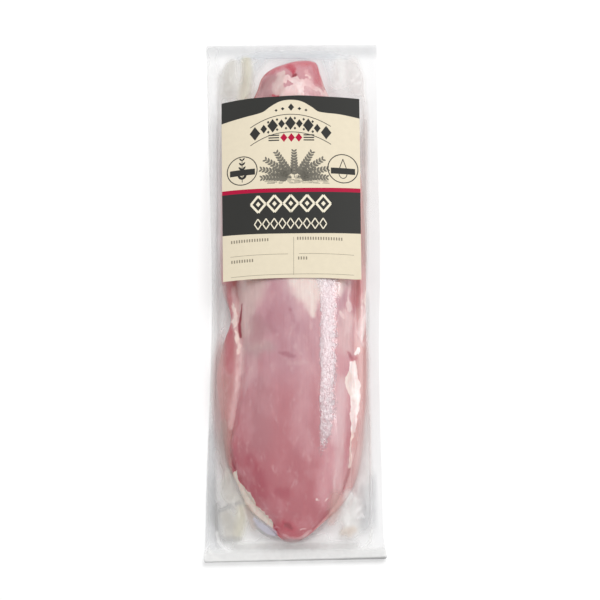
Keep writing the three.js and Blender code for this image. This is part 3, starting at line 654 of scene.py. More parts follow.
FILM_STROKES = [
    # The far border.
    ("grey", 0.3, 0.9, 0.2, [(-55.8, 171, 3.9), (-1.1, 170.5, 4.5), (55.6, 170, 3.9)]),
    # The far pocket.
    ("bluehaze", 0.5, 0.9, 0.2, [(-34.8, 164.1, 2.6), (-20, 166.1, 3.2), (25.8, 165.7, 3.2), (37.9, 163.5, 2.6)]),
    # The same left of the meat.
    ("bluehaze", 0.5, 0.9, 0.2, [(-20, 161.1, 2.6), (-25.4, 154, 2.6), (-27.4, 144, 2)]),
    # The same right of the meat.
    ("bluehaze", 0.4, 0.9, 0.2, [(23.1, 160.7, 2.6), (25.6, 150.7, 2.3), (28.9, 142.1, 2)]),
    # The left border, far.
    ("frost", 0.4, 0.9, 0.2, [(-54.5, 189.8, 3.9), (-53.8, 163, 3.9), (-52.9, 100.3, 3.9), (-50.7, 30.8, 3.2)]),
    # The left border, middle.
    ("frost", 0.6, 0.9, 0.2, [(-50.2, 72.3, 2.6), (-49.9, -3.2, 2.9), (-51.8, -33.4, 3.2), (-53.6, -89.6, 3.2)]),
    # The left border, near.
    ("grey", 0.42, 0.9, 0.2, [(-53.6, -66.6, 3.2), (-53.4, -122, 3.9), (-52.7, -147.7, 4.5), (-51.3, -188.8, 3.9)]),
    # Its dark foot: painted shade.
    ("shade", 0.2, 0.9, 0.2, [(-52.8, -115.6, 2.6), (-52.8, -138.1, 3.2), (-51.4, -157.2, 3.2)]),
    # The near border.
    ("frost", 0.88, 0.5, 0.2, [(-56.4, -171.6, 3.9), (-0.2, -171.1, 3.9), (55.9, -170.3, 3.9)]),
    # The right border, near.
    ("grey", 0.4, 0.9, 0.2, [(49.4, -113.2, 2), (48.3, -135.7, 3.2), (46, -161.2, 4.5)]),
    # The pocket's near end.
    ("frost", 0.7, 0.9, 0.2, [(-37.5, -165.7, 2.6), (-3.4, -166, 3.2), (37.7, -165.1, 2.6)]),
    # The film beside the label, left: painted light, a white milk that lifts the film where it lies in shade.
    ("painted_light", 0.85, 0.9, 0.2, [(-52.8, 168.4, 2.6), (-50.6, 111.5, 4.5), (-49.8, 62.7, 5.2), (-49.6, -5.4, 5.2)]),
    # The film beside the label, right: a grey haze that is partly painted shade at the label's edge.
    ("label_haze_and_shade", 0.6, 0.8, 0.2, [(48.9, 142.5, 2), (47.3, 68.8, 2.1), (45.8, -6.2, 2)]),
    # The left film leaving the meat.
    ("frost", 0.6, 0.9, 0.3, [(-45.8, 1.6, 2), (-45.1, -10.5, 2), (-47, -21.9, 2.2)]),
    # Haze over the left strap.
    ("pinkhaze", 0.75, 0.9, 0.6, [(-45.7, -19.9, 2), (-48.2, -45.1, 2.9), (-48.5, -61.6, 3.2), (-48.2, -79.3, 3.2),
        (-45.9, -109.1, 3.2)]),
    # Dull film over its lower end.
    ("dull", 0.6, 0.9, 0.6, [(-44.9, -87.8, 2.3), (-45.2, -100.8, 3.2), (-44.6, -111.7, 3.6), (-43, -119.5, 2.6)]),
    # Haze over the lower right.
    ("pinkhaze", 0.65, 0.95, 0.4, [(47, -12.6, 1.3), (46.4, -49.2, 2), (45.7, -72.2, 2.3), (44.3, -95, 3.2),
        (40.8, -117.6, 4.9), (33.4, -149.5, 5.2)]),
    # Pale film over it.
    ("frost", 0.7, 0.95, 0.4, [(46.7, -72, 1.6), (45.3, -98.1, 2.6), (44.4, -112.3, 3.6), (41.7, -143, 3.9)]),
    # The line where the right film leaves the meat: painted shade in the crease.
    ("shade", 0.2, 0.9, 0.3, [(48.9, 4.2, 0.8), (48.3, -32.7, 0.8)]),
    # Upper lobe of the near left pucker.
    ("greycream", 0.85, 0.8, 0.4, [(-41.8, -117.8, 2), (-42.4, -125.5, 3.9), (-41.1, -132.6, 4.5),
        (-36.7, -137.1, 4.2)]),
    # Lower lobe of the near left pucker.
    ("greycream", 0.85, 0.8, 0.4, [(-43.7, -146.3, 3.9), (-40.6, -151.4, 4.9), (-41.8, -157.7, 3.2)]),
    # Cream side of it.
    ("milkcream", 0.75, 0.8, 0.4, [(-33.6, -141.9, 2.6), (-34.2, -149.6, 3.2), (-36.1, -157.8, 3.2)]),
    # Fold between the lobes: painted shade in it.
    ("shade", 0.5, 0.8, 0.3, [(-48.1, -142.6, 1), (-41.8, -140.7, 1.3), (-34.8, -137.6, 1)]),
    # The dark left of the lobes: painted shade.
    ("shade", 0.45, 0.9, 0.3, [(-49.1, -138.8, 2), (-49.4, -148.3, 2), (-48.1, -158.5, 2)]),
    # The foot of the lobes: painted shade under them.
    ("shade", 0.4, 0.9, 0.3, [(-45, -160.7, 1.6), (-40, -160.8, 1.7), (-34.9, -160.8, 1.3)]),
    # Fold right of the lobes.
    ("dull", 0.7, 0.9, 0.3, [(-30.4, -141.9, 1.6), (-27.9, -147.1, 2.1), (-26, -153.4, 2)]),
    # The lilac film beside the tip.
    ("lilacwhite", 0.9, 0.5, 0.3, [(-25.7, -148.4, 1), (-22.3, -152.3, 2.1), (-17.2, -155.8, 2.3),
        (-13.1, -157.8, 1.6)]),
    # Its dark edge: painted shade beside the meat.
    ("shade", 0.6, 0.8, 0.2, [(-26.1, -151.3, 0.7), (-22.3, -155.5, 0.8), (-17.2, -159, 0.8), (-9.6, -161.6, 0.8)]),
    # The shade under the tip.
    ("shade", 0.3, 0.9, 0.2, [(-7.1, -161.9, 1), (1.7, -162.8, 1.2), (9.3, -160.8, 1), (17, -154.2, 0.9)]),
    # Film round the tip.
    ("frost", 0.7, 0.9, 0.3, [(-21, -162.8, 2.6), (-6.5, -166.1, 2.9), (6.1, -166.2, 2.9), (18.2, -159.9, 2.6)]),
    # Pink side of the near right pucker.
    ("pinkcream", 0.7, 0.8, 0.6, [(26, -136.2, 3.2), (24.7, -143.8, 3.2), (23.3, -150.2, 2.2)]),
    # The near right pucker.
    ("milk_and_highlight_white", 0.95, 0.85, 0.5, [(33.6, -134.3, 3.2), (36.1, -141.4, 5.2), (34.1, -149, 5.2),
        (35.9, -155.4, 3.9)]),
    # Its outer side.
    ("grey", 0.4, 0.9, 0.3, [(43.9, -129.9, 2.6), (44.3, -142.7, 2.9), (42.8, -154.2, 2.6)]),
    # A painted glint on it.
    ("painted_light", 0.95, 0.6, 1, [(39.1, -147.8, 0.7), (41.7, -146.2, 1.2), (43.6, -146.9, 0.7)]),
    # Painted glints above it.
    ("painted_light", 0.8, 0.6, 1, [(31.7, -135.6, 0.6), (34.3, -133.1, 0.8), (36.8, -134.7, 0.6)]),
    # Its cream foot.
    ("foot", 0.55, 0.9, 0.6, [(30.2, -157.7, 2), (33.3, -157.1, 2.6), (36.5, -155.2, 2)]),
    # The far left pucker.
    ("milkcream", 0.85, 0.85, 0.5, [(-30.7, 163.7, 2.6), (-29.4, 150.8, 3.2), (-30.7, 139.3, 3.9),
        (-32.1, 130.8, 3.9)]),
    # Its outer side.
    ("greycream", 0.7, 0.9, 0.5, [(-40.1, 160.9, 3.2), (-42.1, 149.4, 5.2), (-41.4, 135.9, 5.2)]),
    # The far right pucker.
    ("milk_and_highlight_white", 0.75, 0.85, 0.5, [(32.5, 163.1, 2.9), (31.7, 150.9, 4.2), (30.8, 140.2, 4.2)]),
    # Its outer side.
    ("haze", 0.7, 0.85, 0.5, [(40.5, 161.6, 3.9), (42.3, 148.7, 5.2), (43.5, 135.8, 4.5)]),
    # The bright band of the near end: a painted highlight on milky film.
    ("milk_and_highlight_white", 0.35, 0.9, 0.3, [(-35, -163.1, 1.3), (-27.4, -163.8, 1.6), (-19.8, -163.3, 1)]),
    # The inner curve of the near left corner: a painted highlight.
    ("painted_light", 0.85, 0.7, 0.2, [(-49.5, -155.4, 0.8), (-48.5, -161.1, 1), (-45.7, -165.6, 1), (-41.3, -167.5, 0.7)]),
    # The outer curve of it: a painted highlight.
    ("milk_and_highlight_white", 0.6, 0.8, 0.2, [(-54.6, -166.7, 0.9), (-52, -171.2, 1), (-47.6, -173.7, 0.8)]),
    # The inner curve of the near right corner: a painted highlight.
    ("milk_and_highlight_white", 0.6, 0.8, 0.2, [(48.6, -155, 0.8), (47.2, -161.9, 0.9), (42.7, -167, 0.9)]),
    # The near edge: a dark line painted along it, a painted shadow of the edge on the ground.
    ("edge", 0.85, 0.7, 0.1, [(-58.2, -175.6, 1), (-0.3, -174.6, 1), (57.7, -173.2, 1)]),
    # The bright top of the streak: a painted reflection.
    ("painted_light", 0.72, 0.9, 0.3, [(21.7, 8.3, 7.2), (22.2, -1, 5.9), (22.1, -9.6, 3.9)]),
]


# Heights of the meat's fine relief: lumps, coarse and fine fibres, fat, the depth of slits, and what the label
# lets through of it.
LUMPS = 0.3
COARSE_FIBRES = 0.05
FINE_FIBRES = 0.03
FAT_RELIEF = 0.3
SLIT_DEPTH = 0.6
UNDER_LABEL = (-0.3, 0.15)


def relief_at(x, y, fat, blood):
    """Fine relief of the meat's back: broad lumps, lines of fibre along the muscle, proud fat and sunken slits.
    It is weaker under the label."""
    lumps = LUMPS * fractal_noise(x / 16, y / 26, 41, 3)
    fibres = COARSE_FIBRES * lattice_noise(x / 1.5, y / 21, 51) + FINE_FIBRES * lattice_noise(x / 0.9, y / 9, 52)
    rough = (FAT_RELIEF + FAT_RELIEF * fractal_noise(x / 2.6, y / 4, 61, 3)) * fat
    relief = lumps + fibres + rough - SLIT_DEPTH * blood
    return mix(relief, np.clip(relief, *UNDER_LABEL), label_cover(x, y))


def label_axes(x, y):
    """Places across and along the label, from its middle."""
    dx, dy = x - LABEL_X, y - LABEL_Y
    c, s = math.cos(LABEL_TURN), math.sin(LABEL_TURN)
    return dx * c + dy * s, dy * c - dx * s


def label_half(v):
    """Half the label's width at a place along it."""
    return mix(LABEL_WIDTH_NEAR, LABEL_WIDTH_FAR, np.clip(v / LABEL_LENGTH + 0.5, 0, 1)) / 2


def label_place(u, v):
    """The x and y of a place across and along the label. Places across are drawn in where the label is narrower."""
    u = u * label_half(v) / (LABEL_WIDTH_FAR / 2)
    c, s = math.cos(LABEL_TURN), math.sin(LABEL_TURN)
    return LABEL_X + u * c - v * s, LABEL_Y + u * s + v * c


def label_cover(x, y):
    """1 under the label, fading out over a few millimetres around it."""
    u, v = label_axes(x, y)
    beside = np.maximum(np.abs(u) - label_half(v), np.abs(v) - LABEL_LENGTH / 2)
    return 1 - smoothstep(beside, 0, LABEL_FADE)


def label_height(x, y):
    """Height of the label's underside: the ridge of the back and a lift, less a sag towards each side."""
    u, v = label_axes(x, y)
    along = np.clip(v / LABEL_LENGTH + 0.5, 0, 1)
    sag = np.where(u < 0, mix(*LABEL_SAG_LEFT, along), mix(*LABEL_SAG_RIGHT, along))
    ridge = station(HEIGHTS, 1, y) + np.maximum(0, swell_rise(x, y))
    return ridge + LABEL_LIFT - sag * np.abs(u / label_half(v)) ** LABEL_CURVE


def label_prop(x, y):
    """How far the overhanging end of the label holds the film up."""
    u, v = label_axes(x, y)
    beside = np.hypot(np.maximum(0, np.abs(u) - label_half(v)), np.maximum(0, np.abs(v) - LABEL_LENGTH / 2))
    return (1 - smoothstep(beside, 0, PROP_FADE)) * smoothstep(y, PROP_START, PROP_FULL)


# How strongly the straps' colour lies over the muscle's, across which edge, and where along Y the left one starts.
STRAP_COVER = 0.85
STRAP_EDGE = (-0.6, 1.4)
LEFT_STRAP_START = (-104, -88)


def meat_paint(x, y):
    """The meat's painted attributes: the colours of its lean and of its fat, laid over in turn by the strokes, and
    how much fat and blood there is."""
    middle, half = muscle_at(y)
    beside = smoothstep(np.abs(x - middle) - half, *STRAP_EDGE)[..., None]
    colour = np.stack([station(MUSCLE_ALONG, k, y) for k in (1, 2, 3)], -1) + 0 * x[..., None]
    for name, cover in covers(x, y, MUSCLE_STROKES, 100):
        colour = tinted(colour, name, cover)
    strap = np.where((x > middle)[..., None], np.array(STRAP_RIGHT), np.array(STRAP_LEFT))
    reached = np.where(x > middle, 1, smoothstep(y, *LEFT_STRAP_START))[..., None]
    colour = mix(colour, strap, STRAP_COVER * beside * reached)
    fat, blood = np.zeros(x.shape), np.zeros(x.shape)
    for name, cover in covers(x, y, STRAP_STROKES, 100):
        colour = tinted(colour, name, cover)
    fat_colour = np.array(TINTS["fat"]) + 0 * colour
    for name, cover in covers(x, y, FAT_STROKES, 100):
        fat, fat_colour = lay_over(fat, fat_colour, name, cover)
    for name, cover in covers(x, y, BLOOD_STROKES, 100):
        colour = tinted(colour, name, cover)
        fat_colour = tinted(fat_colour, name, cover)
        blood = np.maximum(blood, cover * (name == "blood"))
    return {"lean": colour, "fatty": fat_colour, "fat": fat, "blood": blood}


# The meat's mesh: rings along Y, columns across, and how even the spacing of the rings is.
MEAT_RINGS = 520
MEAT_STRAP_COLUMNS = 28
MEAT_MUSCLE_COLUMNS = 94
MEAT_UNDER_COLUMNS = 18
RING_EVENNESS = 0.6


def build_meat():
    """The meat: rings along Y whose back follows the arched section and whose underside closes them, with one
    pole at each tip."""
    y = ring_places(MEAT_RINGS, RING_EVENNESS)
    inner = y[1:-1]
    back = back_columns(inner, MEAT_STRAP_COLUMNS, MEAT_MUSCLE_COLUMNS)
    under_share = np.linspace(1, -1, MEAT_UNDER_COLUMNS + 2)[1:-1]
    under = np.broadcast_to(np.sin(under_share * np.pi / 2), (len(inner), MEAT_UNDER_COLUMNS))
    across = np.concatenate([back, under], 1)
    on_top = np.broadcast_to(np.arange(across.shape[1]) < back.shape[1], across.shape)
    ys = np.broadcast_to(inner[:, None], across.shape)
    middle, half = span_at(OUTLINE, ys)
    x = middle + half * across
    paint = meat_paint(x, ys)
    relief = relief_at(x, ys, paint["fat"], paint["blood"])
    body = skin_shape(ys, across, on_top, relief=relief)
    rows, columns = across.shape
    poles = skin_shape(y[[0, -1]], np.zeros(2), np.array([True, True]))
    vertices = np.concatenate([body.reshape(-1, 3), poles])
    faces = [grid_quads(rows, columns, close_columns=True), *pole_fans(rows, columns, closed=True)]
    ends = meat_paint(poles[:, 0], poles[:, 1])
    attributes = {key: linear(np.concatenate([paint[key].reshape(-1, 3), ends[key]])) for key in ("lean", "fatty")}
    attributes["fat"] = np.concatenate([paint["fat"].ravel(), ends["fat"]])
    return build_mesh("tenderloin_meat", vertices, faces, attributes)


# The film.

# Its mesh: rings along Y, columns across the cap, and rows of the skirt and of the border.
FILM_RINGS = 290
FILM_STRAP_COLUMNS = 16
FILM_MUSCLE_COLUMNS = 64
SKIRT_ROWS = 40
BORDER_ROWS = 14
SKIRT_CROWDING = 0.35

# The cap: its gap to the meat, how far it dips into seams, how softly it bridges them, and its fine wrinkles.
FILM_GAP = 0.35
FILM_SEAM = 0.3
FILM_UNION = 9
WRINKLES = 0.07

# How far the cap, the skirt and the film that the label props up stay below the label.
CAP_CLEARANCE = 0.12
SKIRT_CLEARANCE = 0.2
PROP_CLEARANCE = 0.4

# The loose film's waves, the border's height, ripple and lift towards its near edge, and the underside's height.
LOOSE_WAVES = 0.3
BORDER_TOP = 0.6
BORDER_RIPPLE = 0.06
BORDER_LIFT = 3
LIFTED = (163, 175)
FILM_UNDER = 0.05

# How milky each part of the film is before the strokes, and the share of a long stroke over which it dies away.
CAP_MILK = 0.02
SKIRT_MILK = 0.08
BORDER_MILK = 0.08
FILM_FADE = 0.25

# Folds of the film: where each falls off, in half widths, then height, and points of x, y and half width.
FOLD_EDGE = (0.05, 1.95)
FOLDS = [
    (1.6, [(-28.7, 163, 1.6), (-30, 151, 2.4), (-31.4, 133, 2)]),
    (1.2, [(-44, 160, 1.5), (-42.8, 148, 2.5), (-47, 138, 2)]),
    (1.2, [(30, 160, 1.5), (32.5, 149, 2.2), (36, 139, 1.5)]),
    (1.4, [(47, 157, 1.2), (42, 148, 2.2), (34, 141, 1.5)]),
    (1.5, [(-42.5, -119, 1.5), (-45, -129, 2), (-47, -141, 1.4)]),
    (1.5, [(-47, -142, 1.4), (-40.6, -137.4, 2), (-34.5, -132, 1.2)]),
    (1.8, [(-35, -138, 1.4), (-35, -149, 2.2), (-36.5, -161, 1.4)]),
    (1.6, [(31, -136, 1.2), (36, -136.3, 2), (42, -138, 1.4)]),
    (1.8, [(28, -139, 1.4), (32, -148, 2.4), (31, -159, 1.6)]),
    (1.4, [(43, -141, 1.2), (38, -147, 2), (33, -150, 1.2)]),
]

# The crackled stretch of film along the right of the muscle, and where it falls off, in half widths.
CRACKLED = [(22.8, 16, 5.4), (22.5, -50, 5.2), (20, -90, 4.2), (17, -108, 2.4)]
CRACKLE_EDGE = (0.7, 1.2)

# The bright reflection painted into it, broken up by the crackle: y, left and right edge.
GLARE = [
    (-120, 12.5, 17), (-111, 13.2, 19), (-102, 14.6, 23), (-92, 15.6, 25.5), (-64, 16.3, 27.6), (-38, 16.6, 28.4),
    (-8, 16.6, 28.8), (6, 13.5, 30.5), (20, 10.5, 31.5),
]

# Its left edge, the share of its width from which it fades to the right, and how far beyond its right edge.
GLARE_LEFT_EDGE = (-0.8, 1.2)
GLARE_CORE = 0.55
GLARE_FADE = 2.2

# Where it comes up at the near end and dies away at the far one, and how far its sides and near end wander.
GLARE_NEAR = (-122, -84)
GLARE_FAR = (24, 27)
GLARE_SIDE_WANDER = 0.5
GLARE_END_WANDER = 14

# Where the film stops being taut: towards the sides, in half widths of the muscle, and along Y.
TAUT_SIDES = (0.8, 0.97)
TAUT_END = (118, 128)

PACK = {"left": -PACK_WIDTH / 2, "right": PACK_WIDTH / 2, "near": -PACK_LENGTH / 2, "far": PACK_LENGTH / 2,
        "corner": PACK_CORNER}


def position_on(box, share):
    """Position from 0 to 5 round one side of a rounded box, at a share of its length: half an end, a corner, a
    side, a corner and half an end count one each."""
    half = (box["right"] - box["left"]) / 2 - box["corner"]
    turn = box["corner"] * math.pi / 2
    side = box["far"] - box["near"] - 2 * box["corner"]
    reached = np.cumsum([0, half, turn, side, turn, half])
    return np.interp(share, reached / reached[-1], np.arange(6))


def outline_point(box, side, position):
    """The point at a position round the right side, 1, or the left side, -1, of a rounded box."""
    middle = (box["right"] + box["left"]) / 2
    half = (box["right"] - box["left"]) / 2 - box["corner"]
    length = box["far"] - box["near"] - 2 * box["corner"]
    end, near_turn, along, far_turn, last = (np.clip(position - k, 0, 1) for k in range(5))
    near_angle, far_angle = near_turn * math.pi / 2, far_turn * math.pi / 2
    x = half * (end - last) + box["corner"] * (np.sin(near_angle) - 1 + np.cos(far_angle))
    y = box["corner"] * (1 - np.cos(near_angle) + np.sin(far_angle)) + length * along
    return middle + side * x, box["near"] + y


def pack_edge(side, position):
    """The pack's edge: a rounded box pulled in along its sides, with its near end slightly skewed."""
    x, y = outline_point(PACK, side, position)
    reach = np.where(side > 0, station(PACK_EDGES, 2, y), -station(PACK_EDGES, 1, y))
    x = x * reach / (PACK_WIDTH / 2)
    skew = NEAR_SKEW * (0.5 + x / PACK_WIDTH) * (y / (PACK_LENGTH / 2)) ** 8
    return x, np.where(y < 0, y + skew, y)


def pucker_rise(x, y):
    """Height of the loose puckers: each a bell along its length times a bell across."""
    rise = 0
    for px, py, length, width, height, turn in PUCKERS:
        c, s = math.cos(math.radians(turn)), math.sin(math.radians(turn))
        along = (y - py) * c - (x - px) * s
        across = (x - px) * c + (y - py) * s
        rise = rise + height * bell(along, length / 2) * bell(across, width / 2)
    return rise


def fold_rise(x, y):
    """Height of the sharp folds of the film."""
    rise = np.zeros(x.shape)
    across, along = drift(x, y, 600, 0)
    for height, points in FOLDS:
        rise = np.maximum(rise, height * (1 - smoothstep(stroke(x + across, y + along, points), *FOLD_EDGE)))
    return rise


def glare_at(x, y):
    """Share of the painted bright reflection: it comes up sharply at its left edge and fades over its right half.
    Noise moves both edges and its near end."""
    wandering = fractal_noise(x / 3, y / 5, 801, 3)
    left, right = (station(GLARE, k, y) + GLARE_SIDE_WANDER * wandering for k in (1, 2))
    low, high = (left + reach for reach in GLARE_LEFT_EDGE)
    glare = smoothstep(x, low, high) * (1 - smoothstep(x, mix(left, right, GLARE_CORE), right + GLARE_FADE))
    return glare * smoothstep(y + GLARE_END_WANDER * wandering, *GLARE_NEAR) * (1 - smoothstep(y, *GLARE_FAR))


def taut_at(x, y):
    """1 where the film lies taut on the main muscle, 0 over the straps and at the far end."""
    middle, half = muscle_at(y)
    return (1 - smoothstep(np.abs(x - middle) / half, *TAUT_SIDES)) * (1 - smoothstep(y, *TAUT_END))


def build_film():
    """The film as one closed envelope: a cap over the meat's back, a skirt from the meat's outline down to the
    pocket's wall, the flat border, and the flat underside."""
    y = ring_places(FILM_RINGS, RING_EVENNESS)
    inner = y[1:-1]
    across = back_columns(inner, FILM_STRAP_COLUMNS, FILM_MUSCLE_COLUMNS)
    ys = np.broadcast_to(inner[:, None], across.shape)
    middle, half = span_at(OUTLINE, ys)
    x = middle + half * across
    paint = meat_paint(x, ys)
    relief = relief_at(x, ys, paint["fat"], 0 * paint["blood"])
    wrinkle = WRINKLES * (1 + fractal_noise(x / 2.2, ys / 9, 71, 3)) * (1 - label_cover(x, ys))
    cap = skin_shape(ys, across, np.full(across.shape, True), FILM_GAP, relief + wrinkle, FILM_SEAM, FILM_UNION)
    ceiling = label_height(cap[..., 0], cap[..., 1]) - CAP_CLEARANCE
    cap[..., 2] = np.where(label_cover(x, ys) > 0.99, np.minimum(cap[..., 2], ceiling), cap[..., 2])
    rows, columns = across.shape
    poles = skin_shape(y[[0, -1]], np.zeros(2), np.array([True, True]), FILM_GAP)
    near, far = rows * columns, rows * columns + 1
    cap_points = np.concatenate([cap.reshape(-1, 3), poles])

    # The loop round the cap, counterclockwise from the near pole.
    right = np.arange(rows) * columns + columns - 1
    left = np.arange(rows)[::-1] * columns
    loop = np.concatenate([[near], right, [far], left])
    edge = cap_points[loop]
    side = np.concatenate([np.ones(rows + 2), -np.ones(rows)])
    steps = np.linalg.norm(np.diff(edge[:, :2], axis=0, append=edge[:1, :2]), axis=1)
    walked = np.concatenate([[0], np.cumsum(steps)])
    share_right = walked[: rows + 2] / walked[rows + 1]
    share_left = (walked[-1] - walked[rows + 2 : -1]) / (walked[-1] - walked[rows + 1])
    position = position_on(POCKET, np.concatenate([share_right, share_left]))
    wall = np.stack(outline_point(POCKET, side, position), -1)
    border = np.stack(pack_edge(side, position), -1)

    # The skirt: rows from the meat's outline out to the wall.
    out = np.linspace(0, 1, SKIRT_ROWS + 1)[1:, None]
    out = mix(out, 1 - (1 - out) ** 2, SKIRT_CROWDING)
    reach = np.linalg.norm(wall - edge[:, :2], axis=1)[None, :]
    sx, sy = (mix(edge[None, :, axis], wall[None, :, axis], out) for axis in (0, 1))
    from_meat = out * reach
    from_wall = (1 - out) * reach
    drawn = mix(SHOULDER, edge[None, :, 2], np.exp(-from_meat / DRAPE))
    loose = pucker_rise(sx, sy) + fold_rise(sx, sy) + LOOSE_WAVES * fractal_noise(sx / 7, sy / 12, 81, 2)
    top = drawn + loose * smoothstep(from_meat, 0, DRAPE / 2)
    held = label_prop(sx, sy) * smoothstep(from_meat, 0, WALL)
    top = mix(top, label_height(sx, sy) - PROP_CLEARANCE, held)
    top = BORDER_TOP + (top - BORDER_TOP) * smoothstep(from_wall, 0, np.minimum(WALL, WALL_SHARE * reach))
    under_label = label_height(sx, sy) - SKIRT_CLEARANCE
    top = np.where(label_cover(sx, sy) > 0.5, np.minimum(top, under_label), top)
    skirt = np.stack([sx, sy, top], -1)

    # The border, its edge and the underside.
    share = np.linspace(0, 1, BORDER_ROWS + 1)[1:, None]
    bx, by = (mix(wall[None, :, axis], border[None, :, axis], share) for axis in (0, 1))
    ripple = BORDER_RIPPLE * fractal_noise(bx / 9, by / 14, 91, 1) * np.sin(np.pi * np.minimum(share * 1.2, 1))
    lift = BORDER_LIFT * smoothstep(-by, *LIFTED)
    rim = np.stack([bx, by, BORDER_TOP + ripple + lift * share], -1)
    under = [
        np.concatenate([border, FILM_UNDER + lift[-1, :, None]], 1),
        np.concatenate([wall, np.full((len(wall), 1), FILM_UNDER)], 1),
        np.concatenate([edge[:, :2], np.full((len(wall), 1), FILM_UNDER)], 1),
    ]
    outer = np.concatenate([skirt, rim, np.stack(under)])
    vertices = np.concatenate([cap_points, outer.reshape(-1, 3)])

    around = len(loop)
    first = len(cap_points)
    ring = np.arange(around)
    turned = np.roll(ring, -1)
    weld = np.stack([loop, first + ring, first + turned, loop[turned]], -1)
    outward = grid_quads(len(outer), around, first, close_columns=True)[:, ::-1]
    bottom = first + (len(outer) - 1) * around
    right_side = bottom + 1 + np.arange(rows)
    left_side = bottom + around - 1 - np.arange(rows)
    ladder = np.stack([right_side[:-1], left_side[:-1], left_side[1:], right_side[1:]], -1)
    caps = np.array([
        [bottom, left_side[0], right_side[0]],
        [bottom + rows + 1, right_side[-1], left_side[-1]],
    ])
    faces = [grid_quads(rows, columns), *pole_fans(rows, columns), weld, outward, ladder, caps]

    # How milky the film is, and the milk's colour: a little everywhere, laid over in turn by the strokes.
    px, py = vertices[:, 0], vertices[:, 1]
    milk = np.full(len(vertices), SKIRT_MILK)
    milk[: len(cap_points)] = CAP_MILK
    milk[first + SKIRT_ROWS * around :] = BORDER_MILK
    milk[len(vertices) - 3 * around :] = 0
    colour = np.broadcast_to(np.array(TINTS["grey"], float), (len(vertices), 3))
    for name, cover in covers(px, py, FILM_STROKES, 700, 0, FILM_FADE):
        milk, colour = lay_over(milk, colour, name, cover)
    milk[len(vertices) - 3 * around :] = 0
    crackle = 1 - smoothstep(stroke(px, py, CRACKLED), *CRACKLE_EDGE)
    taut = np.zeros(len(vertices))
    taut[: rows * columns] = taut_at(x, ys).ravel()
    attributes = {
        "milk": milk, "milk_tint": linear(colour), "crackle": crackle, "glare": glare_at(px, py), "taut": taut,
    }
    return build_mesh("pack_film", vertices, faces, attributes)


# The label and its print.

def plate(u, v, low, high):
    """A thin plate bent over the label's surface: points and faces. Its grids of places across and along the
    label run to the right by column and to the far end by row."""
    x, y = label_place(u, v)
    z = label_height(x, y)
    rows, columns = u.shape
    count = rows * columns
    top = np.stack([x, y, z + high], -1).reshape(-1, 3)
    bottom = np.stack([x, y, z + low], -1).reshape(-1, 3)
    upper = grid_quads(rows, columns)
    lower = upper[:, ::-1] + count
    index = np.arange(count).reshape(rows, columns)
    rim = np.concatenate([index[0, :-1], index[:-1, -1], index[-1, :0:-1], index[:0:-1, 0]])
    turned = np.roll(rim, -1)
    sides = np.stack([rim + count, turned + count, turned, rim], -1)
    return np.concatenate([top, bottom]), np.concatenate([upper, lower, sides])


def build_plates(name, plates, low, high):
    """One mesh of several plates, each closed."""
    points, faces, first = [], [], 0
    for u, v in plates:
        vertices, quads = plate(u, v, low, high)
        points.append(vertices)
        faces.append(quads + first)
        first += len(vertices)
    return build_mesh(name, np.concatenate(points), faces, smooth=False)


def band(left, right, low, high, step=1.5):
    """A band between two curves, each a number or a function of the place across."""
    columns = max(2, math.ceil((right - left) / step) + 1)
    u = np.linspace(left, right, columns)
    bottom = low(u) if callable(low) else np.full(columns, float(low))
    top = high(u) if callable(high) else np.full(columns, float(high))
    rows = max(2, math.ceil(np.max(top - bottom) / step) + 1)
    share = np.linspace(0, 1, rows)[:, None]
    return np.broadcast_to(u, (rows, columns)), mix(bottom, top, share)


def ribbon(u, v, half_width):
    """A ribbon along a path, with a half width that may vary along it."""
    tangent = np.stack([np.gradient(u), np.gradient(v)], -1)
    tangent = tangent / np.maximum(np.linalg.norm(tangent, axis=1, keepdims=True), LEAST_LENGTH)
    offset = np.asarray(half_width)[..., None] * np.array([-1, 0, 1])
    offset = np.broadcast_to(offset, (len(u), 3))
    return u[:, None] + tangent[:, 1:2] * offset, v[:, None] - tangent[:, 0:1] * offset


def rule(start, end, half_width):
    """A straight ribbon between two places."""
    steps = max(3, math.ceil(math.dist(start, end) / 1.2))
    return ribbon(np.linspace(start[0], end[0], steps), np.linspace(start[1], end[1], steps), half_width)


def circle(middle, radius, half_width, steps=72):
    """A round ribbon."""
    angle = np.linspace(0, 2 * np.pi, steps)
    reach = np.array([radius + half_width, radius, radius - half_width])
    return middle[0] + np.cos(angle)[:, None] * reach, middle[1] + np.sin(angle)[:, None] * reach


def lozenge(middle, width, height):
    """A filled lozenge."""
    u = np.linspace(-1, 1, 9)
    share = np.linspace(-1, 1, 5)[:, None]
    tall = np.maximum(1 - np.abs(u), 0.02)
    return middle[0] + np.broadcast_to(u, (5, 9)) * width / 2, middle[1] + share * tall * height / 2


def lozenge_outline(middle, width, height, half_width):
    """The outline of a lozenge, as four bars."""
    corners = [(width / 2, 0), (0, height / 2), (-width / 2, 0), (0, -height / 2)]
    places = [(middle[0] + a, middle[1] + b) for a, b in corners]
    return [rule(places[i], places[(i + 1) % 4], half_width) for i in range(4)]


def leaf(start, angle, length, width):
    """A pointed leaf from its stalk."""
    share = np.linspace(0, 1, 9)
    u = start[0] + math.cos(angle) * length * share
    v = start[1] + math.sin(angle) * length * share
    return ribbon(u, v, np.maximum(np.sin(np.pi * share) ** 0.8 * width / 2, 0.03))


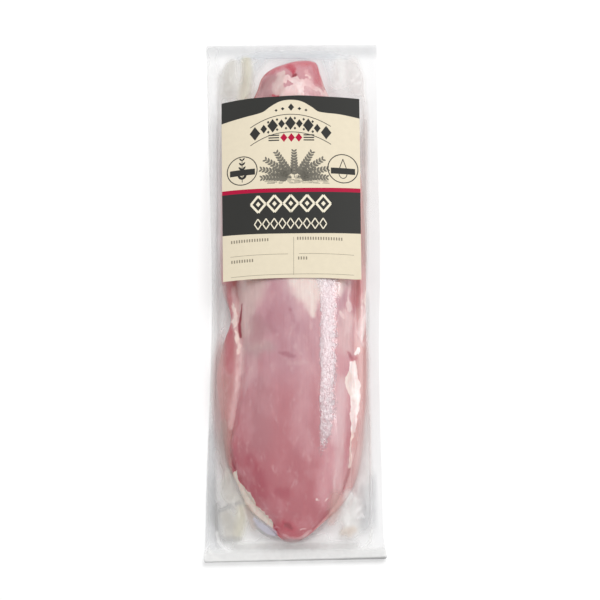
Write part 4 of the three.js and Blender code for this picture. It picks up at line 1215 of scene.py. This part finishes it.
def spray(start, angle, bend, length, leaves, leaf_length, leaf_width, stalk=0.16):
    """A stalk that bends steadily, with pairs of leaves that shorten towards its tip."""
    share = np.linspace(0, 1, 24)
    heading = angle + bend * share
    step = length / 23
    u = start[0] + np.concatenate([[0], np.cumsum(np.cos(heading[:-1]) * step)])
    v = start[1] + np.concatenate([[0], np.cumsum(np.sin(heading[:-1]) * step)])
    plates = [ribbon(u, v, stalk)]
    for at in np.linspace(0.12, 0.96, leaves):
        i = at * 23
        place = (np.interp(i, range(24), u), np.interp(i, range(24), v))
        turn = angle + bend * at
        size = 1 - 0.45 * at
        for way in (-1, 1):
            plates.append(leaf(place, turn + way * 0.75, leaf_length * size, leaf_width * size))
    return plates


# The lower edge of the label's header: places across and along.
HEADER_EDGE = [
    (-45.6, 47.4), (-30.5, 49.6), (-18.3, 52), (-13.3, 55.6), (-6.7, 59.3), (0.5, 60.2), (7.8, 58.9), (14.3, 55),
    (18.6, 51.8), (32.7, 50.4), (45.6, 48.5),
]
HALF_WIDTH = LABEL_WIDTH_FAR / 2
HALF_LENGTH = LABEL_LENGTH / 2

# How far lines across the label rise at its sides, and the top and bend of the arched ornament's line.
BOW = 1.3
BOW_SIDE = 45
ARC_TOP = 43.4
ARC_BEND = 0.0122

# Heights over the label's underside: of the inks, of ink on ink, and of the foot of both inside the paper.
INK = 0.33
INK_OVER = 0.36
INK_ROOT = 0.2

# Lozenges of the header: places across and along, width and height.
HEADER_LOZENGES = [
    (-9.3, 52.8, 2, 2), (-5, 53.9, 2.4, 2.4), (0.5, 55, 4, 5.4), (6, 53.9, 2.4, 2.4), (10.3, 52.8, 2, 2),
]

# Rows of ticks: where each starts, and how many it has.
TICKS = [(-39.5, -37.2, 15), (4, -36.7, 18), (-39.5, -50.6, 9), (4.5, -49.9, 4)]

# Stalks of the sheaf to either side: turn from level, bend and length.
STALKS = [(0.12, 0.35, 19.5), (0.42, 0.35, 21), (0.75, 0.3, 21.5), (1.12, 0.15, 20.5)]


def header_edge(u):
    """The lower edge of the header: it rises to an arch in the middle."""
    return station(HEADER_EDGE, 1, u)


def bowed(v):
    """A line across the label that rises towards both sides."""
    return lambda u: v + BOW * (u / BOW_SIDE) ** 2


def arc_height(u):
    """The line of the arched ornament."""
    return ARC_TOP - ARC_BEND * u**2


def build_label():
    """The label: a sheet with paper's thickness, and its inks as thinner plates just proud of it."""
    paper = band(-HALF_WIDTH, HALF_WIDTH, -HALF_LENGTH, HALF_LENGTH, 0.9)
    sheet = build_plates("label_sheet", [paper], 0, LABEL_PAPER)

    dark = [
        band(-HALF_WIDTH, HALF_WIDTH, header_edge, HALF_LENGTH, 1),
        band(-HALF_WIDTH, HALF_WIDTH, bowed(-33.4), bowed(-5.3), 1),
        band(-40.2, -23.6, 7.9, 12.1),
        band(26.2, 42.2, 7.9, 12.1),
    ]
    for i, u in enumerate(np.linspace(-23.4, 23.4, 9)):
        wide, tall = (4.4, 6.4) if i % 2 else (6.9, 9.8)
        dark.append(lozenge((u, arc_height(u)), wide, tall))
    for u in np.linspace(-14.6, 14.6, 6):
        for lift in (-3.6, 3.6):
            dark.append(lozenge((u, arc_height(u) + lift), 1.7, 2.2))
    path = np.linspace(-26.5, 26.5, 48)
    dark += [ribbon(path, arc_height(path) + 6.4, 0.24), ribbon(path, arc_height(path) - 6.4, 0.24)]
    dark += [lozenge((u, v), wide, tall) for u, v, wide, tall in HEADER_LOZENGES]
    for v in (31.2, 33, 34.8):
        dark += [rule((-14.5, v), (-7.5, v), 0.42), rule((8.5, v), (15.5, v), 0.42)]
    dark += [circle((-32.1, 11.3), 9.9, 0.32), circle((34.2, 11.7), 9.9, 0.32)]
    dark += spray((-32.1, 3.2), math.pi / 2, 0, 15.8, 5, 4.6, 1.9, 0.22)
    drop = np.linspace(0, 2 * np.pi, 40)
    dark.append(ribbon(34.2 + 3.8 * np.sin(drop) * np.sin(drop / 2) ** 1.5, 11.7 + 6.8 * np.cos(drop), 0.26))

    crimson = [band(-HALF_WIDTH, HALF_WIDTH, bowed(-5.3), bowed(-2.5), 1)]
    crimson += [lozenge((u, 33), 4.6, 6.2) for u in (-4.4, 0.5, 5.4)]

    grey = []
    for way in (-1, 1):
        for lift, bend, length in STALKS:
            angle = lift if way > 0 else math.pi - lift
            grey += spray((2.2 + 2 * way, 4.6), angle, -way * bend * 0.6, length, 9, 4.8, 2.3, 0.2)
    grey += spray((2.2, 4.6), math.pi / 2, 0, 19, 9, 4.4, 2.2, 0.2)
    rng = np.random.default_rng(5)
    for v in np.arange(1, 6.6, 0.7):
        for u in np.arange(-17, 22, 4.6):
            start = u + rng.uniform(-2, 2)
            grey.append(rule((start, v), (start + rng.uniform(2.5, 5), v + rng.uniform(-0.2, 0.2)), 0.15))

    pale = []
    for u in np.linspace(-21.7, 21.1, 5):
        pale += lozenge_outline((u, -13), 9.6, 11.4, 0.75)
        pale.append(lozenge((u, -13), 3, 3.6))
    for u in np.linspace(-22, 20.8, 9):
        pale += lozenge_outline((u, -26.6), 4.6, 7.2, 0.36)

    lines = [
        rule((1.3, -35.8), (1.1, -61), 0.12),
        rule((-40.4, -47.1), (-2.5, -47.1), 0.12),
        rule((4.6, -46.9), (40.9, -46.9), 0.12),
        rule((-40.2, -60.8), (40.8, -60.2), 0.12),
    ]
    for u, v, count in TICKS:
        lines += [rule((u + 1.7 * i, v - 1), (u + 1.7 * i, v + 1), 0.42) for i in range(count)]

    return sheet, [
        (build_plates("print_dark", dark, INK_ROOT, INK), (52, 52, 50), "label_ink"),
        (build_plates("print_crimson", crimson, INK_ROOT, INK), (176, 18, 60), "label_red"),
        (build_plates("print_grey", grey, INK_ROOT, INK), (116, 112, 102), "label_ink"),
        (build_plates("print_pale", pale, INK_ROOT, INK_OVER), (238, 230, 208), "label_paper"),
        (build_plates("print_lines", lines, INK_ROOT, INK), (140, 132, 116), "label_ink"),
    ]


# Materials.

def tint(colour):
    """A linear colour with alpha from one as seen, from 0 to 255."""
    return tuple(float(c) for c in linear(colour))


class Nodes:
    """Short ways to add and join the nodes of one material."""

    def __init__(self, name):
        self.material = bpy.data.materials.new(name)
        self.material.use_nodes = True
        self.tree = self.material.node_tree
        self.tree.nodes.clear()
        self.output = self.tree.nodes.new("ShaderNodeOutputMaterial")
        self.object_place = None

    def feed(self, socket, value):
        """Gives an input a value or another node's output."""
        if isinstance(value, bpy.types.NodeSocket):
            self.tree.links.new(value, socket)
        else:
            socket.default_value = value

    def add(self, kind, settings=None, **inputs):
        """A node with its settings, and its inputs by name, each a value or another node's output."""
        node = self.tree.nodes.new(kind)
        for key, value in (settings or {}).items():
            setattr(node, key, value)
        for key, value in inputs.items():
            self.feed(node.inputs[key.replace("_", " ")], value)
        return node

    def attribute(self, name):
        """A mesh attribute's value."""
        return self.add("ShaderNodeAttribute", {"attribute_name": name}).outputs["Fac"]

    def paint(self, name):
        """A mesh attribute's colour."""
        return self.add("ShaderNodeAttribute", {"attribute_name": name}).outputs["Color"]

    def place(self, scale):
        """Object coordinates, scaled per axis."""
        if self.object_place is None:
            self.object_place = self.add("ShaderNodeTexCoord").outputs["Object"]
        return self.add("ShaderNodeMapping", Vector=self.object_place, Scale=scale).outputs["Vector"]

    def noise(self, scale, detail=3.0, roughness=0.5):
        """Noise from 0 to 1 with a scale per axis, in cells to the metre."""
        vector = self.place(scale)
        node = self.add("ShaderNodeTexNoise", Vector=vector, Scale=1.0, Detail=detail, Roughness=roughness)
        return node.outputs["Fac"]

    def cells(self, place, feature):
        """Distance in a pattern of random cells: to the nearest cell's point, or to the cell's edge."""
        node = self.add("ShaderNodeTexVoronoi", {"feature": feature}, Vector=place, Scale=1.0)
        return node.outputs["Distance"]

    def math(self, operation, a, b=0.0):
        """What an operation makes of two values, clamped between 0 and 1."""
        node = self.add("ShaderNodeMath", {"operation": operation, "use_clamp": True})
        for socket, value in zip(node.inputs, (a, b)):
            self.feed(socket, value)
        return node.outputs["Value"]

    def times(self, a, b):
        """The product of two values."""
        return self.math("MULTIPLY", a, b)

    def plus(self, a, b):
        """The sum of two values."""
        return self.math("ADD", a, b)

    def span(self, value, low, high, out_low=0.0, out_high=1.0):
        """A value stretched from one range to another."""
        node = self.add("ShaderNodeMapRange", {"clamp": True}, Value=value)
        for key, number in zip(("From Min", "From Max", "To Min", "To Max"), (low, high, out_low, out_high)):
            node.inputs[key].default_value = number
        return node.outputs["Result"]

    def blend(self, share, a, b):
        """A mix of two colours."""
        node = self.add("ShaderNodeMix", {"data_type": "RGBA", "clamp_factor": True})
        for name, value in (("Factor", share), ("A", a), ("B", b)):
            socket = next(s for s in node.inputs if s.name == name and (name == "Factor" or s.type == "RGBA"))
            self.feed(socket, value)
        return next(s for s in node.outputs if s.type == "RGBA")

    def bump(self, height, distance, normal=None):
        """A bump by a height from 0 to 1 times a distance in metres."""
        node = self.add("ShaderNodeBump", Height=height, Distance=distance, Strength=1.0)
        if normal is not None:
            self.tree.links.new(normal, node.inputs["Normal"])
        return node.outputs["Normal"]

    def mixed(self, share, first, second):
        """A mix of two shaders."""
        node = self.add("ShaderNodeMixShader", Fac=share)
        self.tree.links.new(first, node.inputs[1])
        self.tree.links.new(second, node.inputs[2])
        return node.outputs[0]

    def finish(self, shader):
        """Joins the shader to the output."""
        self.tree.links.new(shader, self.output.inputs["Surface"])
        return self.material


# The meat's colours as seen: its fibres, pale and dark clouds, the web over it and its flecks of fat.
FIBRE_TINT = (158, 84, 96)
PALE_CLOUD = (226, 180, 184)
DARK_CLOUD = (164, 80, 94)
WEB_TINT = (236, 208, 206)
FLECK_TINT = (222, 168, 162)


def meat_material():
    """Wet muscle: its painted colour, broken up by fine fibres, cloudy patches and flecks of fat."""
    n = Nodes("raw_pork")
    fibre = n.noise((820, 46, 820), 3.0)
    cloud = n.noise((95, 60, 95), 4.0)
    speck = n.noise((520, 360, 520), 4.0)
    web = n.noise((260, 120, 260), 5.0, 0.65)
    ragged = n.plus(n.attribute("fat"), n.times(n.noise((620, 330, 620), 4.0, 0.6), 0.8))
    base = n.blend(n.span(ragged, 0.72, 0.92), n.paint("lean"), n.paint("fatty"))
    base = n.blend(n.span(fibre, 0.35, 0.75, 0, 0.16), base, tint(FIBRE_TINT))
    base = n.blend(n.span(cloud, 0.5, 0.75, 0, 0.24), base, tint(PALE_CLOUD))
    base = n.blend(n.span(cloud, 0.5, 0.25, 0, 0.24), base, tint(DARK_CLOUD))
    base = n.blend(n.span(web, 0.56, 0.7, 0, 0.2), base, tint(WEB_TINT))
    flecks = n.times(n.attribute("fat"), n.span(speck, 0.5, 0.72, 0, 0.24))
    base = n.blend(flecks, base, tint(FLECK_TINT))
    height = n.plus(n.times(fibre, 0.5), n.times(speck, 0.5))
    shader = n.add(
        "ShaderNodeBsdfPrincipled", Base_Color=base, Roughness=0.42, Normal=n.bump(height, 0.00025),
        Specular_IOR_Level=0.3, Subsurface_Weight=0.2, Subsurface_Radius=(1.0, 0.35, 0.3), Subsurface_Scale=0.002,
    )
    return n.finish(shader.outputs["BSDF"])


# The share that clear film reflects straight on and at a slant, where it is loose and where it is taut, and its
# roughness there.
LOOSE_SHINE = (0.025, 0.25)
TAUT_SHINE = (0.07, 0.5)
ROUGHNESS = (0.22, 0.12)

# How milky the painted reflection gets, its colour, and the colour of what light goes straight through.
GLARE_MILK = 0.92
GLARE_TINT = (245, 243, 246)
CLEAR_TINT = (254, 254, 254)

# Heights in metres of the waves in taut film and of the crackle.
WAVE_BUMP = 0.0002
CRACKLE_BUMP = 0.0003


def film_material():
    """Clear film: see-through, with a milky share painted on, and a gloss with waves where the film is taut. Along
    one stretch it is crackled: facets stand proud between sunken cracks. The reflection painted there is frayed by
    cloudy noise, and dull lines run through it along the ridge of a folded noise."""
    n = Nodes("clear_film")
    cloud = n.noise((130, 70, 130), 4.0)
    wave = n.noise((170, 40, 170), 2.0)
    place = n.place((480, 330, 480))
    shift = n.noise((430, 330, 430), 3.0, 0.6)
    fold = n.math("PINGPONG", n.noise((520, 330, 520), 3.0, 0.6), 0.5)
    facets = n.cells(place, "F1")
    cracks = n.cells(place, "DISTANCE_TO_EDGE")
    crumple = n.plus(n.times(facets, 0.6), n.span(cracks, 0, 0.12, 0, 0.3))
    taut = n.attribute("taut")
    normal = n.bump(n.times(wave, taut), WAVE_BUMP)
    normal = n.bump(n.times(crumple, n.attribute("crackle")), CRACKLE_BUMP, normal)

    # The milky share: what is painted, made cloudy, or the broken painted reflection where that is more.
    glare = n.attribute("glare")
    lines = n.times(n.span(fold, 0.44, 0.5, 1, 0.66), n.span(shift, 0.34, 0.62, 0.72, 1))
    frayed = n.span(n.plus(glare, n.span(shift, 0.3, 0.7, -0.35, 0.3)), 0.3, 0.8, 0, GLARE_MILK)
    milk = n.times(n.attribute("milk"), n.span(cloud, 0.3, 0.65, 0.82, 1))
    milk = n.math("MAXIMUM", milk, n.times(frayed, lines))
    colour = n.blend(glare, n.paint("milk_tint"), tint(GLARE_TINT))
    cream = n.mixed(
        0.5,
        n.add("ShaderNodeBsdfDiffuse", Color=colour).outputs[0],
        n.add("ShaderNodeBsdfTranslucent", Color=colour).outputs[0],
    )
    clear = n.add("ShaderNodeBsdfTransparent", Color=tint(CLEAR_TINT))
    body = n.mixed(milk, clear.outputs[0], cream)

    # The gloss: weak straight on, and stronger with the fifth power of the slant.
    rough = n.span(taut, 0, 1, *ROUGHNESS)
    gloss = n.add("ShaderNodeBsdfGlossy", Color=(1, 1, 1, 1), Roughness=rough, Normal=normal)
    slant = n.math("POWER", n.add("ShaderNodeLayerWeight", Blend=0.5, Normal=normal).outputs["Facing"], 5.0)
    straight, aslant = (n.span(taut, 0, 1, *shares) for shares in zip(LOOSE_SHINE, TAUT_SHINE))
    return n.finish(n.mixed(n.plus(straight, n.times(slant, aslant)), body, gloss.outputs[0]))


def paper_material(name, colour):
    """Printed paper: an even colour with a faint mottle."""
    n = Nodes(name)
    mottle = n.noise((300, 300, 300), 2.0)
    darker = tuple(c * 0.965 for c in colour)
    base = n.blend(mottle, tint(darker), tint(colour))
    shader = n.add("ShaderNodeBsdfPrincipled", Base_Color=base, Roughness=0.6, Specular_IOR_Level=0.15)
    return n.finish(shader.outputs["BSDF"])


GROUND_TINT = (254, 254, 254)


def floor_material():
    """The white ground."""
    n = Nodes("ground")
    shader = n.add("ShaderNodeBsdfDiffuse", Color=tint(GROUND_TINT))
    return n.finish(shader.outputs["BSDF"])


# The pieces.
meat = build_meat()
meat.data.materials.append(meat_material())
film = build_film()
film.data.materials.append(film_material())
sheet, inks = build_label()
sheet.data.materials.append(paper_material("label_stock", (227, 216, 192)))
for piece, node, slot in (
    (meat, "tenderloin", "raw_pork"),
    (film, "film_pack", "clear_film"),
    (sheet, "label", "label_paper"),
):
    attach(piece, "root")
    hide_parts(node)
for piece, colour, slot in inks:
    piece.data.materials.append(paper_material(piece.name + "_ink", colour))
    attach(piece, "root")
    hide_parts("label")

# The ground, light and camera.
bpy.ops.mesh.primitive_plane_add(size=6, location=(0, 0, -0.0004))
floor = bpy.context.object
floor.name = "ground"
floor.data.materials.append(floor_material())

world = bpy.data.worlds.new("studio")
bpy.context.scene.world = world
world.use_nodes = True
backdrop = world.node_tree.nodes["Background"]
backdrop.inputs["Color"].default_value = (1, 1, 1, 1)
backdrop.inputs["Strength"].default_value = 0.74


def area_light(name, direction, distance, width, length, power, lights_diffuse, lights_gloss):
    """A soft box that looks at the pack from a direction, with its length level along Y. It lights diffuse
    surfaces, shows in gloss, or both."""
    lamp = bpy.data.lights.new(name, "AREA")
    lamp.shape = "RECTANGLE"
    lamp.size = width
    lamp.size_y = length
    lamp.energy = power
    box = bpy.data.objects.new(name, lamp)
    bpy.context.collection.objects.link(box)
    away = Vector(direction).normalized()
    side = Vector((0, 1, 0)).cross(away).normalized()
    up = away.cross(side)
    turn = Matrix((side, up, away)).transposed().to_4x4()
    box.matrix_world = Matrix.Translation(Vector((0, 0, 0.02)) + away * distance) @ turn
    box.visible_diffuse = lights_diffuse
    box.visible_glossy = lights_gloss


# The bright window seen in the film along the right of the muscle, and the light that falls from above.
area_light("window", (0.666, 0.284, 0.69), 1.2, 0.87, 0.8, 9, False, True)
area_light("above", (0.24, 0.4, 0.88), 1.7, 1.1, 1.1, 14, True, False)


def set_camera():
    """A long lens above the near end, as the fitted view."""
    e = CAMERA_ELEVATION
    back = Vector((0, -math.cos(e), math.sin(e)))
    level = Vector((1, 0, 0))
    raised = back.cross(level)
    right = level * math.cos(CAMERA_ROLL) + raised * math.sin(CAMERA_ROLL)
    up = raised * math.cos(CAMERA_ROLL) - level * math.sin(CAMERA_ROLL)
    eye = (Vector(CAMERA_AIM) + back * CAMERA_DISTANCE) * MM
    data = bpy.data.cameras.new("camera")
    data.lens = CAMERA_LENS
    data.sensor_width = SENSOR_WIDTH
    data.clip_start = 0.05
    camera = bpy.data.objects.new("camera", data)
    bpy.context.collection.objects.link(camera)
    camera.matrix_world = Matrix.Translation(eye) @ Matrix((right, up, back)).transposed().to_4x4()
    bpy.context.scene.camera = camera


set_camera()
bpy.context.scene.view_settings.view_transform = "Standard"
